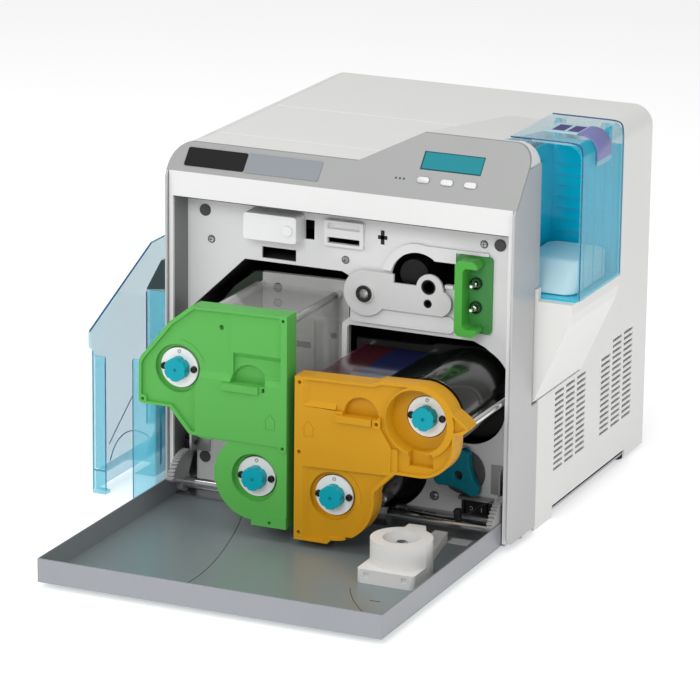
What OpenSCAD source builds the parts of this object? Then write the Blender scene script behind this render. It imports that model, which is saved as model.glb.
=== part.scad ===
// Desktop card printer with its front door open and both film cassettes drawn out.
// X runs to the right, Y to the back and Z up; lengths are millimetres.

/* [Body] */
// Width over the white front frame
body_w = 340; // [336:1:360]
// Depth of the body behind the front frame
body_d = 353; // [345:1:380]
// Height of the flat top above the table
body_h = 343; // [342:1:350]
// Thickness of the moulded covers
skin = 2.5; // [2:0.1:3.2]
// Rounding between the top and the sides
corner_r = 19.5; // [14:0.5:22]
// Height of the rubber feet
foot_h = 6; // [5:0.5:6]
// Radius of the rubber feet
foot_r = 9; // [7:0.5:11]
// Thickness of the base pan
pan_t = 2; // [1.5:0.1:2]
// Depth of the silver front surround
column_d = 65; // [60:1:70]
// Thickness of the silver side columns
column_t = 2.5; // [2:0.1:3]
// How far the columns stand in front of the frame
column_proud = 3.5; // [2:0.5:5]
// How far the top right of the body rises over the flat top
hump_rise = 27; // [24:1:28]
// Where the raised top runs out, measured from the front
hump_end = 250; // [230:1:270]

/* [Front] */
// Thickness of the white side walls of the front frame
frame_wall = 4; // [3:0.2:5]
// Distance of the door opening's top edge below the flat top
opening_drop = 47.6; // [46:0.2:51]
// Distance of the fascia's lower edge below the flat top
fascia_drop = 23.7; // [22.5:0.1:25]
// Lean of the fascia from level, in degrees
fascia_tilt = 49.1; // [48:0.1:50]
// Thickness of the fascia
fascia_t = 2.6; // [2:0.1:3]
// Width of the display window
lcd_w = 59; // [50:1:62]
// Height of the display window
lcd_h = 19; // [15:0.5:20]
// Length of a menu button
button_w = 12; // [10:0.5:14]
// Travel of a menu button
button_travel = 1; // [0.6:0.1:1.2]
// Distance between menu buttons
button_pitch = 22.8; // [20:0.2:24]

/* [Chassis] */
// Setback of the chassis plate behind the front frame
chassis_y = 31; // [29:0.5:33]
// Thickness of the chassis plate
chassis_t = 2; // [1.5:0.1:2.5]
// Distance of the wall behind the cassettes from the front
mid_wall_y = 180; // [178:1:190]
// Radius of the swivel pin under the lever arm
lever_pin_r = 4; // [3:0.1:5]
// Radius of the feed roller in the round window
feed_roller_r = 14; // [11:0.5:16]
// Radius of the locking knob's round flange
lock_flange_r = 21.5; // [19:0.5:22]
// Reach of a lobe of the locking knob
lock_reach = 25; // [22:0.5:25.5]

/* [Door] */
// Distance of the door's front edge from the hinge axis
door_len = 277; // [270:1:285]
// Gap between the door's sides and the front frame
door_side_gap = 0.7; // [0.4:0.1:1.5]
// Height of the door's folded rim
door_rim = 22.3; // [20:0.1:24]
// Thickness of the door's sheet
door_t = 1.5; // [1.2:0.1:2]
// Clear height under the open door
door_z = 5.5; // [5:0.1:5.5]
// Radius of the hinge tube
tube_r = 5.5; // [4.5:0.1:6]
// Distance of the hinge axis behind the front frame
hinge_y = 10; // [9:0.5:12]
// Height of the hinge axis
hinge_z = 17.3; // [17:0.1:18.3]
// Pitch radius of the door's gear sectors
sector_r = 30; // [30:0.5:30.5]
// Teeth on a damper pinion
pinion_teeth = 12; // [12:1:12]
// Pitch radius of a damper pinion
pinion_r = 7.5; // [7.5:0.1:7.6]
// Outer radius of the round holder on the door
holder_r = 28; // [24:0.5:28.5]
// Height of the round holder's top above the table
holder_top = 42; // [38:0.5:43]

/* [Cassettes] */
// How far the cassettes are drawn out of the chassis
drawn_out = 116; // [100:1:117]
// Depth of a cassette's front moulding
plate_d = 20; // [18:1:24]
// Height of the raised panels on the cassettes
panel_h = 3; // [2:0.2:3.5]
// Distance from the front moulding to the back plate
cage_d = 115; // [112:1:116]
// Width of the rims round the cassettes' front mouldings
rim_w = 2.5; // [2:0.1:3]
// Thickness of a cassette's back plate
back_t = 5; // [4:0.5:5.5]
// Gap between a cassette and its slot in the chassis
slot_gap = 1.5; // [1:0.1:1.6]
// Radius of the white discs
disc_r = 18.7; // [17:0.1:19]
// Radius of the turning knobs
knob_r = 10.8; // [9:0.1:12]
// How far a knob stands off its disc
knob_h = 10; // [7:0.5:11]
// Radius of the steel guide rods
rod_r = 3.5; // [3:0.1:3.6]
// Width of the film and of the ribbon
film_w = 100; // [90:1:102]
// Thickness drawn for a film web
film_t = 0.6; // [0.4:0.1:0.8]
// Radius of the upper film roll of the green cassette
green_upper_roll_r = 28; // [20:0.5:30]
// Radius of the lower film roll of the green cassette
green_lower_roll_r = 27.3; // [20:0.1:27.5]
// Radius of the upper ribbon roll of the orange cassette
orange_upper_roll_r = 34; // [28:0.5:34.5]
// Radius of the lower ribbon roll of the orange cassette
orange_lower_roll_r = 33; // [24:0.5:34.5]

/* [Card hopper] */
// How far the hopper stands out over the body's centre line
hopper_x = 211; // [208:0.5:214]
// Depth of the hopper along the side
hopper_d = 108; // [100:1:112]
// Height of the hopper from its floor to its top face
hopper_h = 146; // [142:1:150]
// How far the hopper's top face stands over the flat top
hopper_rise = 27; // [26:0.5:31]
// Thickness of the clear hopper walls
hopper_t = 2.5; // [2:0.1:3]
// Rounding of the cover's outer top edge
hopper_round = 15; // [10:0.5:18]
// Height of the card weight
weight_h = 28; // [20:1:40]
// Travel of the card weight
weight_travel = 100; // [60:1:100]

/* [Output tray] */
// Width of the output tray
tray_w = 67; // [60:1:75]
// Distance between the output tray and the body
tray_gap = 5.5; // [4:0.5:8]
// Height of the tray's tall outer wall
tray_h = 216; // [190:1:230]
// Length of the tray from front to back
tray_d = 162; // [150:1:175]
// Thickness of the tray's walls
tray_t = 2.5; // [2:0.1:3.2]
// Height of the tray's floor
tray_floor_z = 22; // [16:1:30]

/* [Fits] */
// Radial clearance of a turning fit
run_fit = 0.05; // [0.02:0.01:0.08]
// Clearance between parts that pass each other
pass_gap = 0.3; // [0.2:0.05:0.4]

/* [Hidden] */
$fn = 64;
eps = 0.01;
half_w = body_w / 2;
cover_x = half_w + 1.5;
cover_in = cover_x - skin;
column_in = half_w + pass_gap;
column_out = column_in + column_t;
pan_z = foot_h + pan_t;
door_front = hinge_y - door_len;
tray_right = -(column_out + tray_gap);
tray_left = tray_right - tray_w;
catch_t = 1.5;
mid_x = (hopper_x + catch_t + tray_left) / 2;
mid_y = (body_d + door_front) / 2;
fascia_z = body_h - fascia_drop;
fascia_slope = tan(fascia_tilt);
fascia_run = fascia_t / sin(fascia_tilt);
hump_top = body_h + hump_rise;
hump_y = (hump_top - fascia_z) / fascia_slope;
low_y = (body_h - fascia_z) / fascia_slope;
opening_top = body_h - opening_drop;
row_z = opening_top - 35.4;
hump_left = 65;
hump_foot = 10;
opening_x = half_w - frame_wall;
door_x = opening_x - door_side_gap;
arm_r = hinge_z - pan_z - pass_gap;
plate_front = chassis_y - drawn_out;
face_y = plate_front + panel_h;
plate_back = plate_front + plate_d;
disc_front = face_y + 3;
back_y = plate_back + cage_d;
film_y0 = plate_back + 5;
film_y1 = film_y0 + film_w;
journal_r = 4;
green_upper = [-119.9, 158];
green_lower = [-42.2, 65.4];
orange_upper = [119.5, 141.4];
orange_lower = [35, 59];
green_right = -10;
orange_left = -2;
green_rail_z = 121.2;
orange_rail_z = 14;
green_rod_a = [-98, 208];
green_rod_b = [-20, 208];
orange_rod_a = [12, 162];
orange_rod_b = [74, 162];
orange_rod_c = [161, 140];
tub_c = [116, 140];
tub_r = 29.5;
tub_depth = plate_d - 3;
tub_disc_front = plate_front + tub_depth - 0.5;
tube_left_end = -48;
tube_right_end = 50.3;
lever_c = [17, 219];
feed_c = [62, 240];
lock_c = [115, 61];
lcd_x = 100.5;
lcd_v = 39.5;
button_x = 100.6;
button_v = 19.4;
button_h = 6;
rocker_c = [129, 26.5];
rocker_w = 22;
rocker_tilt = 6;
gear_x0 = door_x - door_t - 6.3;
gear_x1 = door_x - door_t;
sector_teeth = 48;
gear_module = 1.25;
pinion_angle = 67;
pinion_dist = sector_r + pinion_r + pass_gap;
pinion_y = hinge_y + pinion_dist * cos(pinion_angle);
pinion_z = hinge_z + pinion_dist * sin(pinion_angle);
hopper_top_z = body_h + hopper_rise;
hopper_floor_z = hopper_top_z - hopper_h;
hopper_in = 139;
hopper_y0 = 62;
hopper_y1 = hopper_y0 + hopper_d;
cover_pin = [hopper_y1 - 5, hopper_top_z - 7];
holder_c = [tub_c[0], hinge_y - (tub_c[1] - hinge_z)];
mid_wall_t = 2;
hood_z = tray_h - 20;
chute_left = tray_right - 25.7;
vent_pitch = 5.65;

// ---- helpers ----
module at_origin() { translate([-mid_x, -mid_y, 0]) children(); }
// Runs an outline drawn in Y and Z along X.
module along_x(x0, x1) {
  translate([x0, 0, 0]) rotate([90, 0, 90]) linear_extrude(x1 - x0) children();
}
// Runs an outline drawn in X and Z along Y.
module along_y(y0, y1) {
  translate([0, y1, 0]) rotate([90, 0, 0]) linear_extrude(y1 - y0) children();
}
// Runs an outline drawn in X and Y up Z.
module along_z(z0, z1) { translate([0, 0, z0]) linear_extrude(z1 - z0) children(); }
module box(x0, x1, y0, y1, z0, z1) {
  translate([x0, y0, z0]) cube([x1 - x0, y1 - y0, z1 - z0]);
}
module rect(a0, a1, b0, b1) { translate([a0, b0]) square([a1 - a0, b1 - b0]); }
module disc(c, r) { translate(c) circle(r); }
// Rectangle with round corners, made of two bars and four circles.
module round_rect(a0, a1, b0, b1, r) {
  rect(a0 + r, a1 - r, b0, b1);
  rect(a0, a1, b0 + r, b1 - r);
  for (a = [a0 + r, a1 - r], b = [b0 + r, b1 - r]) disc([a, b], r);
}
module both_sides() {
  children();
  mirror([1, 0, 0]) children();
}
// Local frame of the fascia: X across, Y up the slope, Z out of the face.
module on_fascia() { translate([0, 0, fascia_z]) rotate([fascia_tilt, 0, 0]) children(); }

// Straight web of film outside two circles; side is 1 or -1.
module web(p, rp, q, rq, side) {
  d = q - p;
  turn = atan2(d[1], d[0]) + side * acos((rp - rq) / norm(d));
  n = [cos(turn), sin(turn)];
  polygon([p + rp * n, q + rq * n, q + (rq + film_t) * n, p + (rp + film_t) * n]);
}
// Film lying on a rod.
module wrap(c) {
  difference() {
    disc(c, rod_r + film_t);
    disc(c, rod_r);
  }
}
module gear_teeth(r, count, from, to, thin) {
  for (i = [from : to]) rotate(i * 360 / count)
    polygon([[r - gear_module * 1.2, -gear_module * 0.95 + thin],
             [r + gear_module * 0.85, -gear_module * 0.42 + thin],
             [r + gear_module * 0.85, gear_module * 0.42 - thin],
             [r - gear_module * 1.2, gear_module * 0.95 - thin]]);
}

// ---- outlines of the cassettes, grown by g ----
module green_outline(g) {
  intersection() {
    union() {
      polygon([[-105.3 - g, 218.8 + g], [green_right + g, 220.6 + g], [green_right + g, 96 - g],
               [-95 - g, 96 - g], [-108 - g, 99 - g], [-127.4 - g, green_rail_z - g],
               [-154 - g, green_rail_z - g], [-158.4 - g, 127 - g], [-158 - g, 161.3 + g],
               [-155.9 - g, 166 + g], [-126.7 - g, 202 + g]]);
      disc(green_lower, 40 + g);
      rect(green_lower[0] - 2.5 - g, green_right + g, 21 - g, 100);
    }
    rect(-165, green_right + g, 0, 230);
  }
}
module orange_outline(g) {
  intersection() {
    union() {
      polygon([[orange_left - g, orange_rail_z - g], [31 + g, orange_rail_z - g], [36 + g, 20 - g], [36 + g, 89],
               [92 - g, 89 - g], [119 + g, 89 - g], [119 + g, 174 + g], [79 - g, 172.5 + g],
               [72 - g, 169.5 + g], [orange_left - g, 167.5 + g]]);
      difference() {
        disc(orange_lower, 41 + g);
        rect(tube_right_end - 1.3, 80, 0, 23.2 - g);
      }
      polygon([[60, 60], [76 + g, 66 - g], [77 + g, 70 - g], [96 + g, 89 - g], [80, 110], [50, 110]]);
      disc([119, 140], 34 + g);
      disc([119, 123], 34 + g);
      rect(119, 153 + g, 123, 140);
      polygon([[150, 132 - g], [161 + g, 134.5 - g], [166 + g, 140], [161 + g, 145.5 + g],
               [150, 153 + g]]);
    }
    rect(orange_left - g, 170, 0, 230);
  }
}

// Openings of the chassis plate, wider than the cassettes that slide through them.
module cassette_openings() {
  green_outline(slot_gap);
  polygon([[-154 - slot_gap, 130], [-158.4 - slot_gap, 184.5], [-107.5, 235], [-9, 235], [-2.5, 232], [-0.5, 226],
           [-0.5, 193], [green_right + slot_gap, 186], [green_right + slot_gap, 130]]);
  orange_outline(slot_gap);
  disc(orange_upper, 40.5);
  intersection() {
    disc(orange_lower, 45);
    rect(orange_left - slot_gap, 90, orange_rail_z - slot_gap, 100);
  }
  polygon([[orange_left - slot_gap, 120], [orange_left - slot_gap, 183], [orange_left + 1, 185.5], [122, 185.5],
           [133.4, 180.8], [139.4, 176.5], [150, 120]]);
}

// ---- body ----
module base_pan() {
  color("silver") at_origin() difference() {
    union() {
      box(-cover_in, cover_in, 0, body_d - skin, foot_h, pan_z);
      for (x = [tube_left_end - 4, tube_right_end]) box(x, x + 4, hinge_y - 6, hinge_y + 6, foot_h, hinge_z);
    }
    for (i = [0 : 7]) box(-70 + i * 20, -60 + i * 20, 220, 300, 0, 20);
    along_x(-half_w, half_w) disc([hinge_y, hinge_z], tube_r);
  }
}
module feet() {
  color("dimgray") at_origin() both_sides() for (y = [45, body_d - 45])
    translate([half_w - 12, y, 0]) cylinder(h = foot_h, r = foot_r);
}
module column_side(top_y, top_z) {
  polygon(concat([for (a = [180 : 15 : 270])
                  [-column_proud + 12 + 12 * cos(a), foot_h + 12 + 12 * sin(a)]],
                 [[column_d, foot_h], [column_d, top_z - corner_r], [top_y, top_z - corner_r],
                  [fascia_run, fascia_z], [0, fascia_z], [-column_proud, fascia_z - 6]]));
}
module left_column() {
  color("gainsboro") at_origin() along_x(-column_out, -column_in)
    column_side(fascia_run + low_y - corner_r / fascia_slope, body_h);
}
module right_column() {
  color("gainsboro") at_origin() along_x(column_in, column_out) difference() {
    column_side(fascia_run + hump_y - corner_r / fascia_slope, hump_top);
    rect(hopper_y0 - 13, column_d + 1, hopper_floor_z - 98, hopper_floor_z + 12);
    rect(hopper_y0 - 2, column_d + 1, hopper_floor_z, hump_top);
  }
}
// Front outline of the fascia; its top corners are as round as the covers.
module fascia_outline() {
  r = corner_r - 1;
  polygon(concat([[-column_out, fascia_z], [column_out, fascia_z]],
                 [for (a = [0 : 10 : 90]) [column_out - r + r * cos(a), hump_top - r + r * sin(a)]],
                 [[hump_left, hump_top], [hump_foot, body_h]],
                 [for (a = [90 : 10 : 180]) [-column_out + r + r * cos(a), body_h - r + r * sin(a)]]));
}
module button_shape(g) {
  for (s = [-1, 1]) disc([s * (button_w - button_h) / 2, 0], button_h / 2 + g);
  rect(-(button_w - button_h) / 2, (button_w - button_h) / 2, -button_h / 2 - g, button_h / 2 + g);
}
module front_fascia() {
  color("lightgray") at_origin() difference() {
    intersection() {
      along_x(-column_out, column_out) polygon([[0, fascia_z], [hump_y, hump_top],
                                                [hump_y + fascia_run, hump_top], [fascia_run, fascia_z]]);
      along_y(-10, 80) fascia_outline();
    }
    on_fascia() {
      translate([lcd_x - lcd_w / 2, lcd_v - lcd_h / 2, -10]) cube([lcd_w, lcd_h, 20]);
      for (i = [-1 : 1]) translate([button_x + i * button_pitch, button_v, -10])
        linear_extrude(20) button_shape(pass_gap);
      for (i = [-1 : 1]) translate([55.2 + i * 3.9, button_v - 0.6, -10]) cylinder(h = 20, r = 1, $fn = 24);
    }
  }
}
module lcd_window() {
  color("teal") at_origin() on_fascia()
    translate([lcd_x - lcd_w / 2, lcd_v - lcd_h / 2, -fascia_t]) cube([lcd_w, lcd_h, fascia_t - 0.6]);
}
module name_badges() {
  color("dimgray") at_origin() on_fascia() {
    linear_extrude(0.8) round_rect(-157, -96.7, 6.2, 25.4, 2);
    linear_extrude(0.6) round_rect(-96.4, -22, 5.6, 26, 2);
  }
}
module led_windows() {
  color("black") at_origin() on_fascia() for (i = [-1 : 1])
    translate([55.2 + i * 3.9, button_v - 0.6, -fascia_t]) cylinder(h = fascia_t + 0.2, r = 1, $fn = 24);
}
module menu_button(i) {
  color("silver") at_origin() on_fascia() translate([button_x + i * button_pitch, button_v, 0]) {
    translate([0, 0, -fascia_t - pass_gap - 1.5]) linear_extrude(fascia_t + pass_gap + 2.7) button_shape(0);
    translate([0, 0, -fascia_t - pass_gap - 1.5]) linear_extrude(1.5) button_shape(1.2);
  }
}
module button_left() { menu_button(-1); }
module button_middle() { menu_button(0); }
module button_right() { menu_button(1); }
module front_frame() {
  color("whitesmoke") at_origin() difference() {
    union() {
      box(-half_w, half_w, 0, 3, opening_top, fascia_z);
      box(-half_w, half_w, 0, chassis_y, opening_top, opening_top + skin);
      both_sides() box(opening_x, half_w, 0, chassis_y, pan_z, opening_top + eps);
    }
    along_x(-half_w - 1, half_w + 1) disc([hinge_y, hinge_z], tube_r);
  }
}
module left_cover() {
  color("whitesmoke") at_origin() {
    difference() {
      along_x(-cover_x, -cover_in)
        polygon([[column_d + pass_gap, 6], [110, 6], [112, 12], [302, 12], [304, 4], [body_d, 4],
                 [body_d, body_h - corner_r], [column_d + pass_gap, body_h - corner_r]]);
      box(-cover_x - 1, -cover_in + 1, 70, 160, 150, 165);
    }
    side_rail(-1, column_d + pass_gap, body_d, body_h);
  }
}
// Quarter round between a side and the top.
module side_rail(side, y0, y1, top) {
  r_in = corner_r - skin;
  c = [side * (cover_x - corner_r), top - corner_r];
  along_y(y0, y1) intersection() {
    difference() {
      disc(c, corner_r);
      disc(c, r_in);
    }
    translate([c[0] + min(0, side * corner_r), c[1]]) square(corner_r);
  }
}
// Everything in front of the back of the fascia.
module front_wedge() {
  along_x(-half_w - 10, half_w + 10)
    polygon([[-50, 0], [fascia_run, 0], [fascia_run, fascia_z], [hump_y + fascia_run, hump_top],
             [hump_y + fascia_run, hump_top + 10], [-50, hump_top + 10]]);
}
// Round edge that follows the raised top down to the flat top.
module raised_rail() {
  x = cover_x - corner_r;
  difference() {
    hull() for (p = [[hump_y + 4, hump_top], [hump_end, body_h]])
      translate([x, p[0], p[1] - corner_r]) rotate([-90, 0, 0]) cylinder(h = eps, r = corner_r, $fn = 48);
    hull() for (p = [[hump_y + 3, hump_top], [hump_end + 1, body_h]])
      translate([x, p[0], p[1] - corner_r]) rotate([-90, 0, 0]) cylinder(h = eps, r = corner_r - skin, $fn = 48);
    box(0, x, 0, body_d, 0, 500);
    along_x(0, 300) polygon([[0, 0], [0, hump_top - corner_r], [hump_y, hump_top - corner_r],
                             [hump_end, body_h - corner_r], [body_d, body_h - corner_r], [body_d, 0]]);
  }
}
module hopper_pocket() {
  box(hopper_in - 3, 250, hopper_y0 - 3, hopper_y1 + 4, hopper_floor_z - 3, 500);
}
module vents() {
  for (c = [0 : 2], r = [0 : 13])
    box(cover_in - 1, cover_x + 1, 111 + c * 28, 134 + c * 28, 45.3 + r * vent_pitch, 48 + r * vent_pitch);
  for (c = [0 : 2], r = [0 : (c == 0 ? 13 : 15)])
    box(cover_in - 1, cover_x + 1, 231 + c * 30, 255 + c * 30, 45.3 + r * vent_pitch, 48 + r * vent_pitch);
}
module right_cover() {
  color("whitesmoke") at_origin() difference() {
    union() {
      along_x(cover_in, cover_x)
        polygon([[column_d + pass_gap, 1], [109, 1], [111, 12], [302, 12], [304, 4], [body_d, 4],
                 [body_d, body_h - corner_r], [hump_end, body_h - corner_r],
                 [column_d + pass_gap, hump_top - corner_r - hump_rise * (column_d - hump_y) / (hump_end - hump_y)]]);
      raised_rail();
      side_rail(1, hump_end, body_d, body_h);
      difference() {
        side_rail(1, 0, hump_y + 4 + eps, hump_top);
        front_wedge();
      }
    }
    hopper_pocket();
    vents();
    box(cover_in - 1, 300, 0, column_d + pass_gap, 0, hump_top - corner_r);
    along_x(cover_in - 1, 300) hopper_base_side(pass_gap / 3);
  }
}
module top_cover() {
  x = cover_x - corner_r;
  color("whitesmoke") at_origin() difference() {
    box(-x, x, column_d + pass_gap, body_d, body_h - skin, body_h);
    box(-x - 1, x + 1, 190.8, 191.6, body_h - 0.7, body_h + 1);
    hopper_pocket();
  }
}
module top_front_panel() {
  y1 = column_d - pass_gap / 3;
  color("white") at_origin() difference() {
    union() {
      box(-cover_x + corner_r, cover_x - corner_r, 0, y1, body_h - skin, body_h);
      side_rail(-1, 0, y1, body_h);
    }
    front_wedge();
    hopper_pocket();
  }
}
module control_hump() {
  x = cover_x - corner_r;
  color("whitesmoke") at_origin() difference() {
    hull() for (p = [[hump_foot, low_y, body_h], [hump_left, hump_y, hump_top], [x, hump_y, hump_top],
                     [x, low_y, body_h], [x, hump_end, body_h], [hump_left - 1, hump_end, body_h]])
      translate(p) cube(eps);
    front_wedge();
    along_x(hump_left + 4, x + 1) polygon([[low_y, body_h - 1], [low_y + 5, body_h - 1],
                               [hump_y + 8, body_h - 1], [hump_y + 8, hump_top - 4],
                               [hump_y + fascia_run - 3, hump_top - 4]]);
    hopper_pocket();
  }
}
module rear_panel() {
  color("whitesmoke") at_origin() difference() {
    box(-cover_in, cover_in, body_d - skin, body_d, pan_z, body_h - corner_r);
    for (i = [0 : 9]) box(-110 + i * 9, -105 + i * 9, body_d - 10, body_d + 1, 200, 270);
    box(90, 118, body_d - 10, body_d + 1, 30, 50);
    box(20, 33, body_d - 10, body_d + 1, 34, 46);
    box(40, 57, body_d - 10, body_d + 1, 32, 48);
  }
}
// Wall behind the cassettes with the two rails that carry them and the feed roller.
module mid_wall() {
  color("lightgray") at_origin() {
    along_y(mid_wall_y, mid_wall_y + mid_wall_t)
      polygon([[-cover_in, pan_z], [cover_in - 35, pan_z], [cover_in - 35, body_h - skin],
               [-cover_x + corner_r, body_h - skin], [-cover_in, body_h - corner_r]]);
    box(-152, -130, chassis_y + chassis_t, mid_wall_y, 116, green_rail_z - pass_gap);
    box(orange_left + 4, 28, chassis_y + chassis_t, mid_wall_y, pan_z, orange_rail_z - pass_gap);
    along_y(chassis_y + chassis_t, mid_wall_y + eps) disc(feed_c, feed_roller_r);
  }
}

// ---- chassis ----
module window_hole() {
  disc([67, 235], 27);
  rect(67, 104, 235, 256);
}
module chassis_plate() {
  color("whitesmoke") at_origin() {
    difference() {
      along_y(chassis_y, chassis_y + chassis_t) difference() {
        rect(-opening_x, opening_x, pan_z, opening_top + skin);
        cassette_openings();
        window_hole();
        rect(-90, -55.4, row_z - 22, row_z - 11);
        rect(-46.5, -37, row_z + 1, row_z + 19.4);
        rect(-24, 12, row_z, row_z + 21);
        rect(28, 34, row_z + 10, row_z + 12.6);
        rect(29.7, 32.3, row_z + 8, row_z + 14.6);
        disc(lock_c, 6 + run_fit);
        rect(rocker_c[0] - 13, rocker_c[0] + 13, rocker_c[1] - 8, rocker_c[1] + 8);
        for (s = [0, 1]) mirror([s, 0]) rect(gear_x0 - 1, opening_x + 1, 0, pinion_z + 11);
      }
    }
    along_y(chassis_y - 3, chassis_y) difference() {
      union() {
        disc([67, 235], 35);
        rect(67, 104.5, 235, 269);
        rect(67, 136, 266.2, 269);
      }
      window_hole();
      rect(0, 140, 180, 232);
      rect(31, 46, 190, 242);
    }
    along_y(chassis_y - 8, chassis_y) disc(lever_c, lever_pin_r);
    along_y(chassis_y - 3, chassis_y) round_rect(1, 104, 190, 205.5, 6);
  }
}
module sensor_cover() {
  color("white") at_origin() {
    along_y(chassis_y - 20, chassis_y) round_rect(-100, -46.5, row_z, row_z + 25, 3);
    along_y(chassis_y - 22, chassis_y - 20) disc([-55, row_z + 12], 5);
  }
}
module grip_bar() {
  color("white") at_origin() difference() {
    along_y(chassis_y - 5, chassis_y) round_rect(-25.6, 13.6, row_z - 1.5, row_z + 23, 2);
    along_y(chassis_y - 6, chassis_y + 1) rect(-22, 10, row_z + 1.5, row_z + 7);
    along_y(chassis_y - 6, chassis_y - 1) rect(-22, 10, row_z + 15, row_z + 20);
  }
}
module chassis_fixings() {
  color("dimgray") at_origin() {
    for (p = [[-148, row_z + 16.7], [146, row_z + 17.6], [-148, 37.8]])
      along_y(chassis_y - 1.5, chassis_y) disc(p, 5.5);
    for (p = [[-141.6, row_z - 10.3], [-5.6, row_z - 14], [130.4, row_z + 16.8], [86.3, 33.1]])
      along_y(chassis_y - 2, chassis_y) disc(p, 4);
  }
}
module pin_bracket() {
  color("limegreen") at_origin() difference() {
    union() {
      along_y(chassis_y - 3, chassis_y) round_rect(105.5, 140, 194, 265.7, 4);
      along_y(chassis_y - 20, chassis_y - 3) round_rect(110.5, 132, 194, 264.5, 6);
    }
    along_y(chassis_y - 21, chassis_y - 3) round_rect(118, 140, 201, 257.5, 4);
    for (z = [218.4, 240.7]) along_y(chassis_y - 4, chassis_y + 1) disc([125, z], 3);
  }
}
module bracket_pins() {
  color("silver") at_origin() for (z = [218.4, 240.7]) {
    along_y(chassis_y - 16, chassis_y) disc([125, z], 3);
    along_y(chassis_y - 16, chassis_y - 13) disc([125, z], 4.5);
  }
}
module lever_arm() {
  color("white") at_origin() difference() {
    union() {
      along_y(chassis_y - 6.5, chassis_y - 3.3) difference() {
        union() {
          disc(lever_c, 21.5);
          rect(lever_c[0], 94, 206, 232);
          disc([80.4, 231], 13);
          disc([90, 218], 12);
          rect(lever_c[0], 45, 206, 240);
        }
        disc([79.4, 232], 7);
        disc([79, 216.5], 4);
      }
      along_y(chassis_y - 9, chassis_y - 6.5) disc(lever_c, 9);
      along_y(chassis_y - 3.3, chassis_y - 0.4) disc(lever_c, 8);
    }
    along_y(chassis_y - 8.3, chassis_y + 1) disc(lever_c, lever_pin_r + run_fit);
  }
}
module lock_knob() {
  color("teal") at_origin() {
    difference() {
      along_y(chassis_y - 14, chassis_y - 5) {
        disc(lock_c, 13);
        for (a = [78, 198, 318]) {
          tip = lock_c + (lock_reach - 6) * [cos(a), sin(a)];
          disc(tip, 6);
          polygon([for (s = [-1, 1]) lock_c + 12.5 * [cos(a + s * 90), sin(a + s * 90)],
                   for (s = [1, -1]) tip + 5.9 * [cos(a + s * 90), sin(a + s * 90)]]);
        }
      }
      along_y(chassis_y - 15, chassis_y - 9) disc(lock_c, 4);
    }
    along_y(chassis_y - 5, chassis_y - 3) disc(lock_c, 9);
    along_y(chassis_y - 3, chassis_y - pass_gap) disc(lock_c, lock_flange_r);
    along_y(chassis_y - pass_gap, chassis_y + 10) disc(lock_c, 6);
  }
}
module switch_body() {
  color("black") at_origin() difference() {
    union() {
      along_y(chassis_y - 3, chassis_y)
        rect(rocker_c[0] - 14.5, rocker_c[0] + 14.5, rocker_c[1] - 10, rocker_c[1] + 10);
      along_y(chassis_y - 3, chassis_y + 14)
        rect(rocker_c[0] - 13, rocker_c[0] + 13, rocker_c[1] - 8, rocker_c[1] + 8);
    }
    along_y(chassis_y - 4, chassis_y + 11)
      rect(rocker_c[0] - 11.9, rocker_c[0] + 11.9, rocker_c[1] - 7, rocker_c[1] + 7);
    along_z(rocker_c[1] - 7.8, rocker_c[1] + 7.8) disc([rocker_c[0], chassis_y + 4], 1.5 + run_fit);
  }
}
module power_rocker() {
  color("black") at_origin()
    translate([rocker_c[0], chassis_y + 4, rocker_c[1]]) rotate([0, 0, -rocker_tilt]) {
      along_z(-6.7, 6.7) polygon([[-rocker_w / 2, -5.8], [0, -4.6], [rocker_w / 2, -5.8],
                                  [rocker_w / 2, -3], [0, 5.3], [-rocker_w / 2, -3]]);
      along_z(-7.5, 7.5) circle(1.5);
    }
}
// Two tubes, so that the cassettes can pass between them.
module hinge_tube() {
  color("silver") at_origin() {
    along_x(-half_w + 0.5, tube_left_end) disc([hinge_y, hinge_z], tube_r);
    along_x(tube_right_end, half_w - 0.5) disc([hinge_y, hinge_z], tube_r);
  }
}
module damper_bracket() {
  difference() {
    union() {
      box(gear_x0 - 2.5, gear_x0 - 0.5, pinion_y - 9, chassis_y, pinion_z - 8.5, pinion_z + 19);
      box(gear_x0 - 15, gear_x0 - 2.5, chassis_y - 2, chassis_y, pinion_z - 8.5, pinion_z + 19);
    }
    along_x(gear_x0 - 5, gear_x0 + 1) disc([pinion_y, pinion_z], 2 + run_fit);
  }
}
module damper_brackets() { color("silver") at_origin() both_sides() damper_bracket(); }
module damper_pinion() {
  along_x(gear_x0, gear_x1 - pass_gap) difference() {
    translate([pinion_y, pinion_z]) rotate(180 + pinion_angle) {
      circle(pinion_r - gear_module * 1.15);
      gear_teeth(pinion_r, pinion_teeth, 0, pinion_teeth - 1, 0.12);
    }
    disc([pinion_y, pinion_z], 1);
  }
  along_x(gear_x0 - 4, gear_x0) disc([pinion_y, pinion_z], 2);
}
module damper_pinion_left() { color("black") at_origin() mirror([1, 0, 0]) damper_pinion(); }
module damper_pinion_right() { color("black") at_origin() damper_pinion(); }

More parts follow.
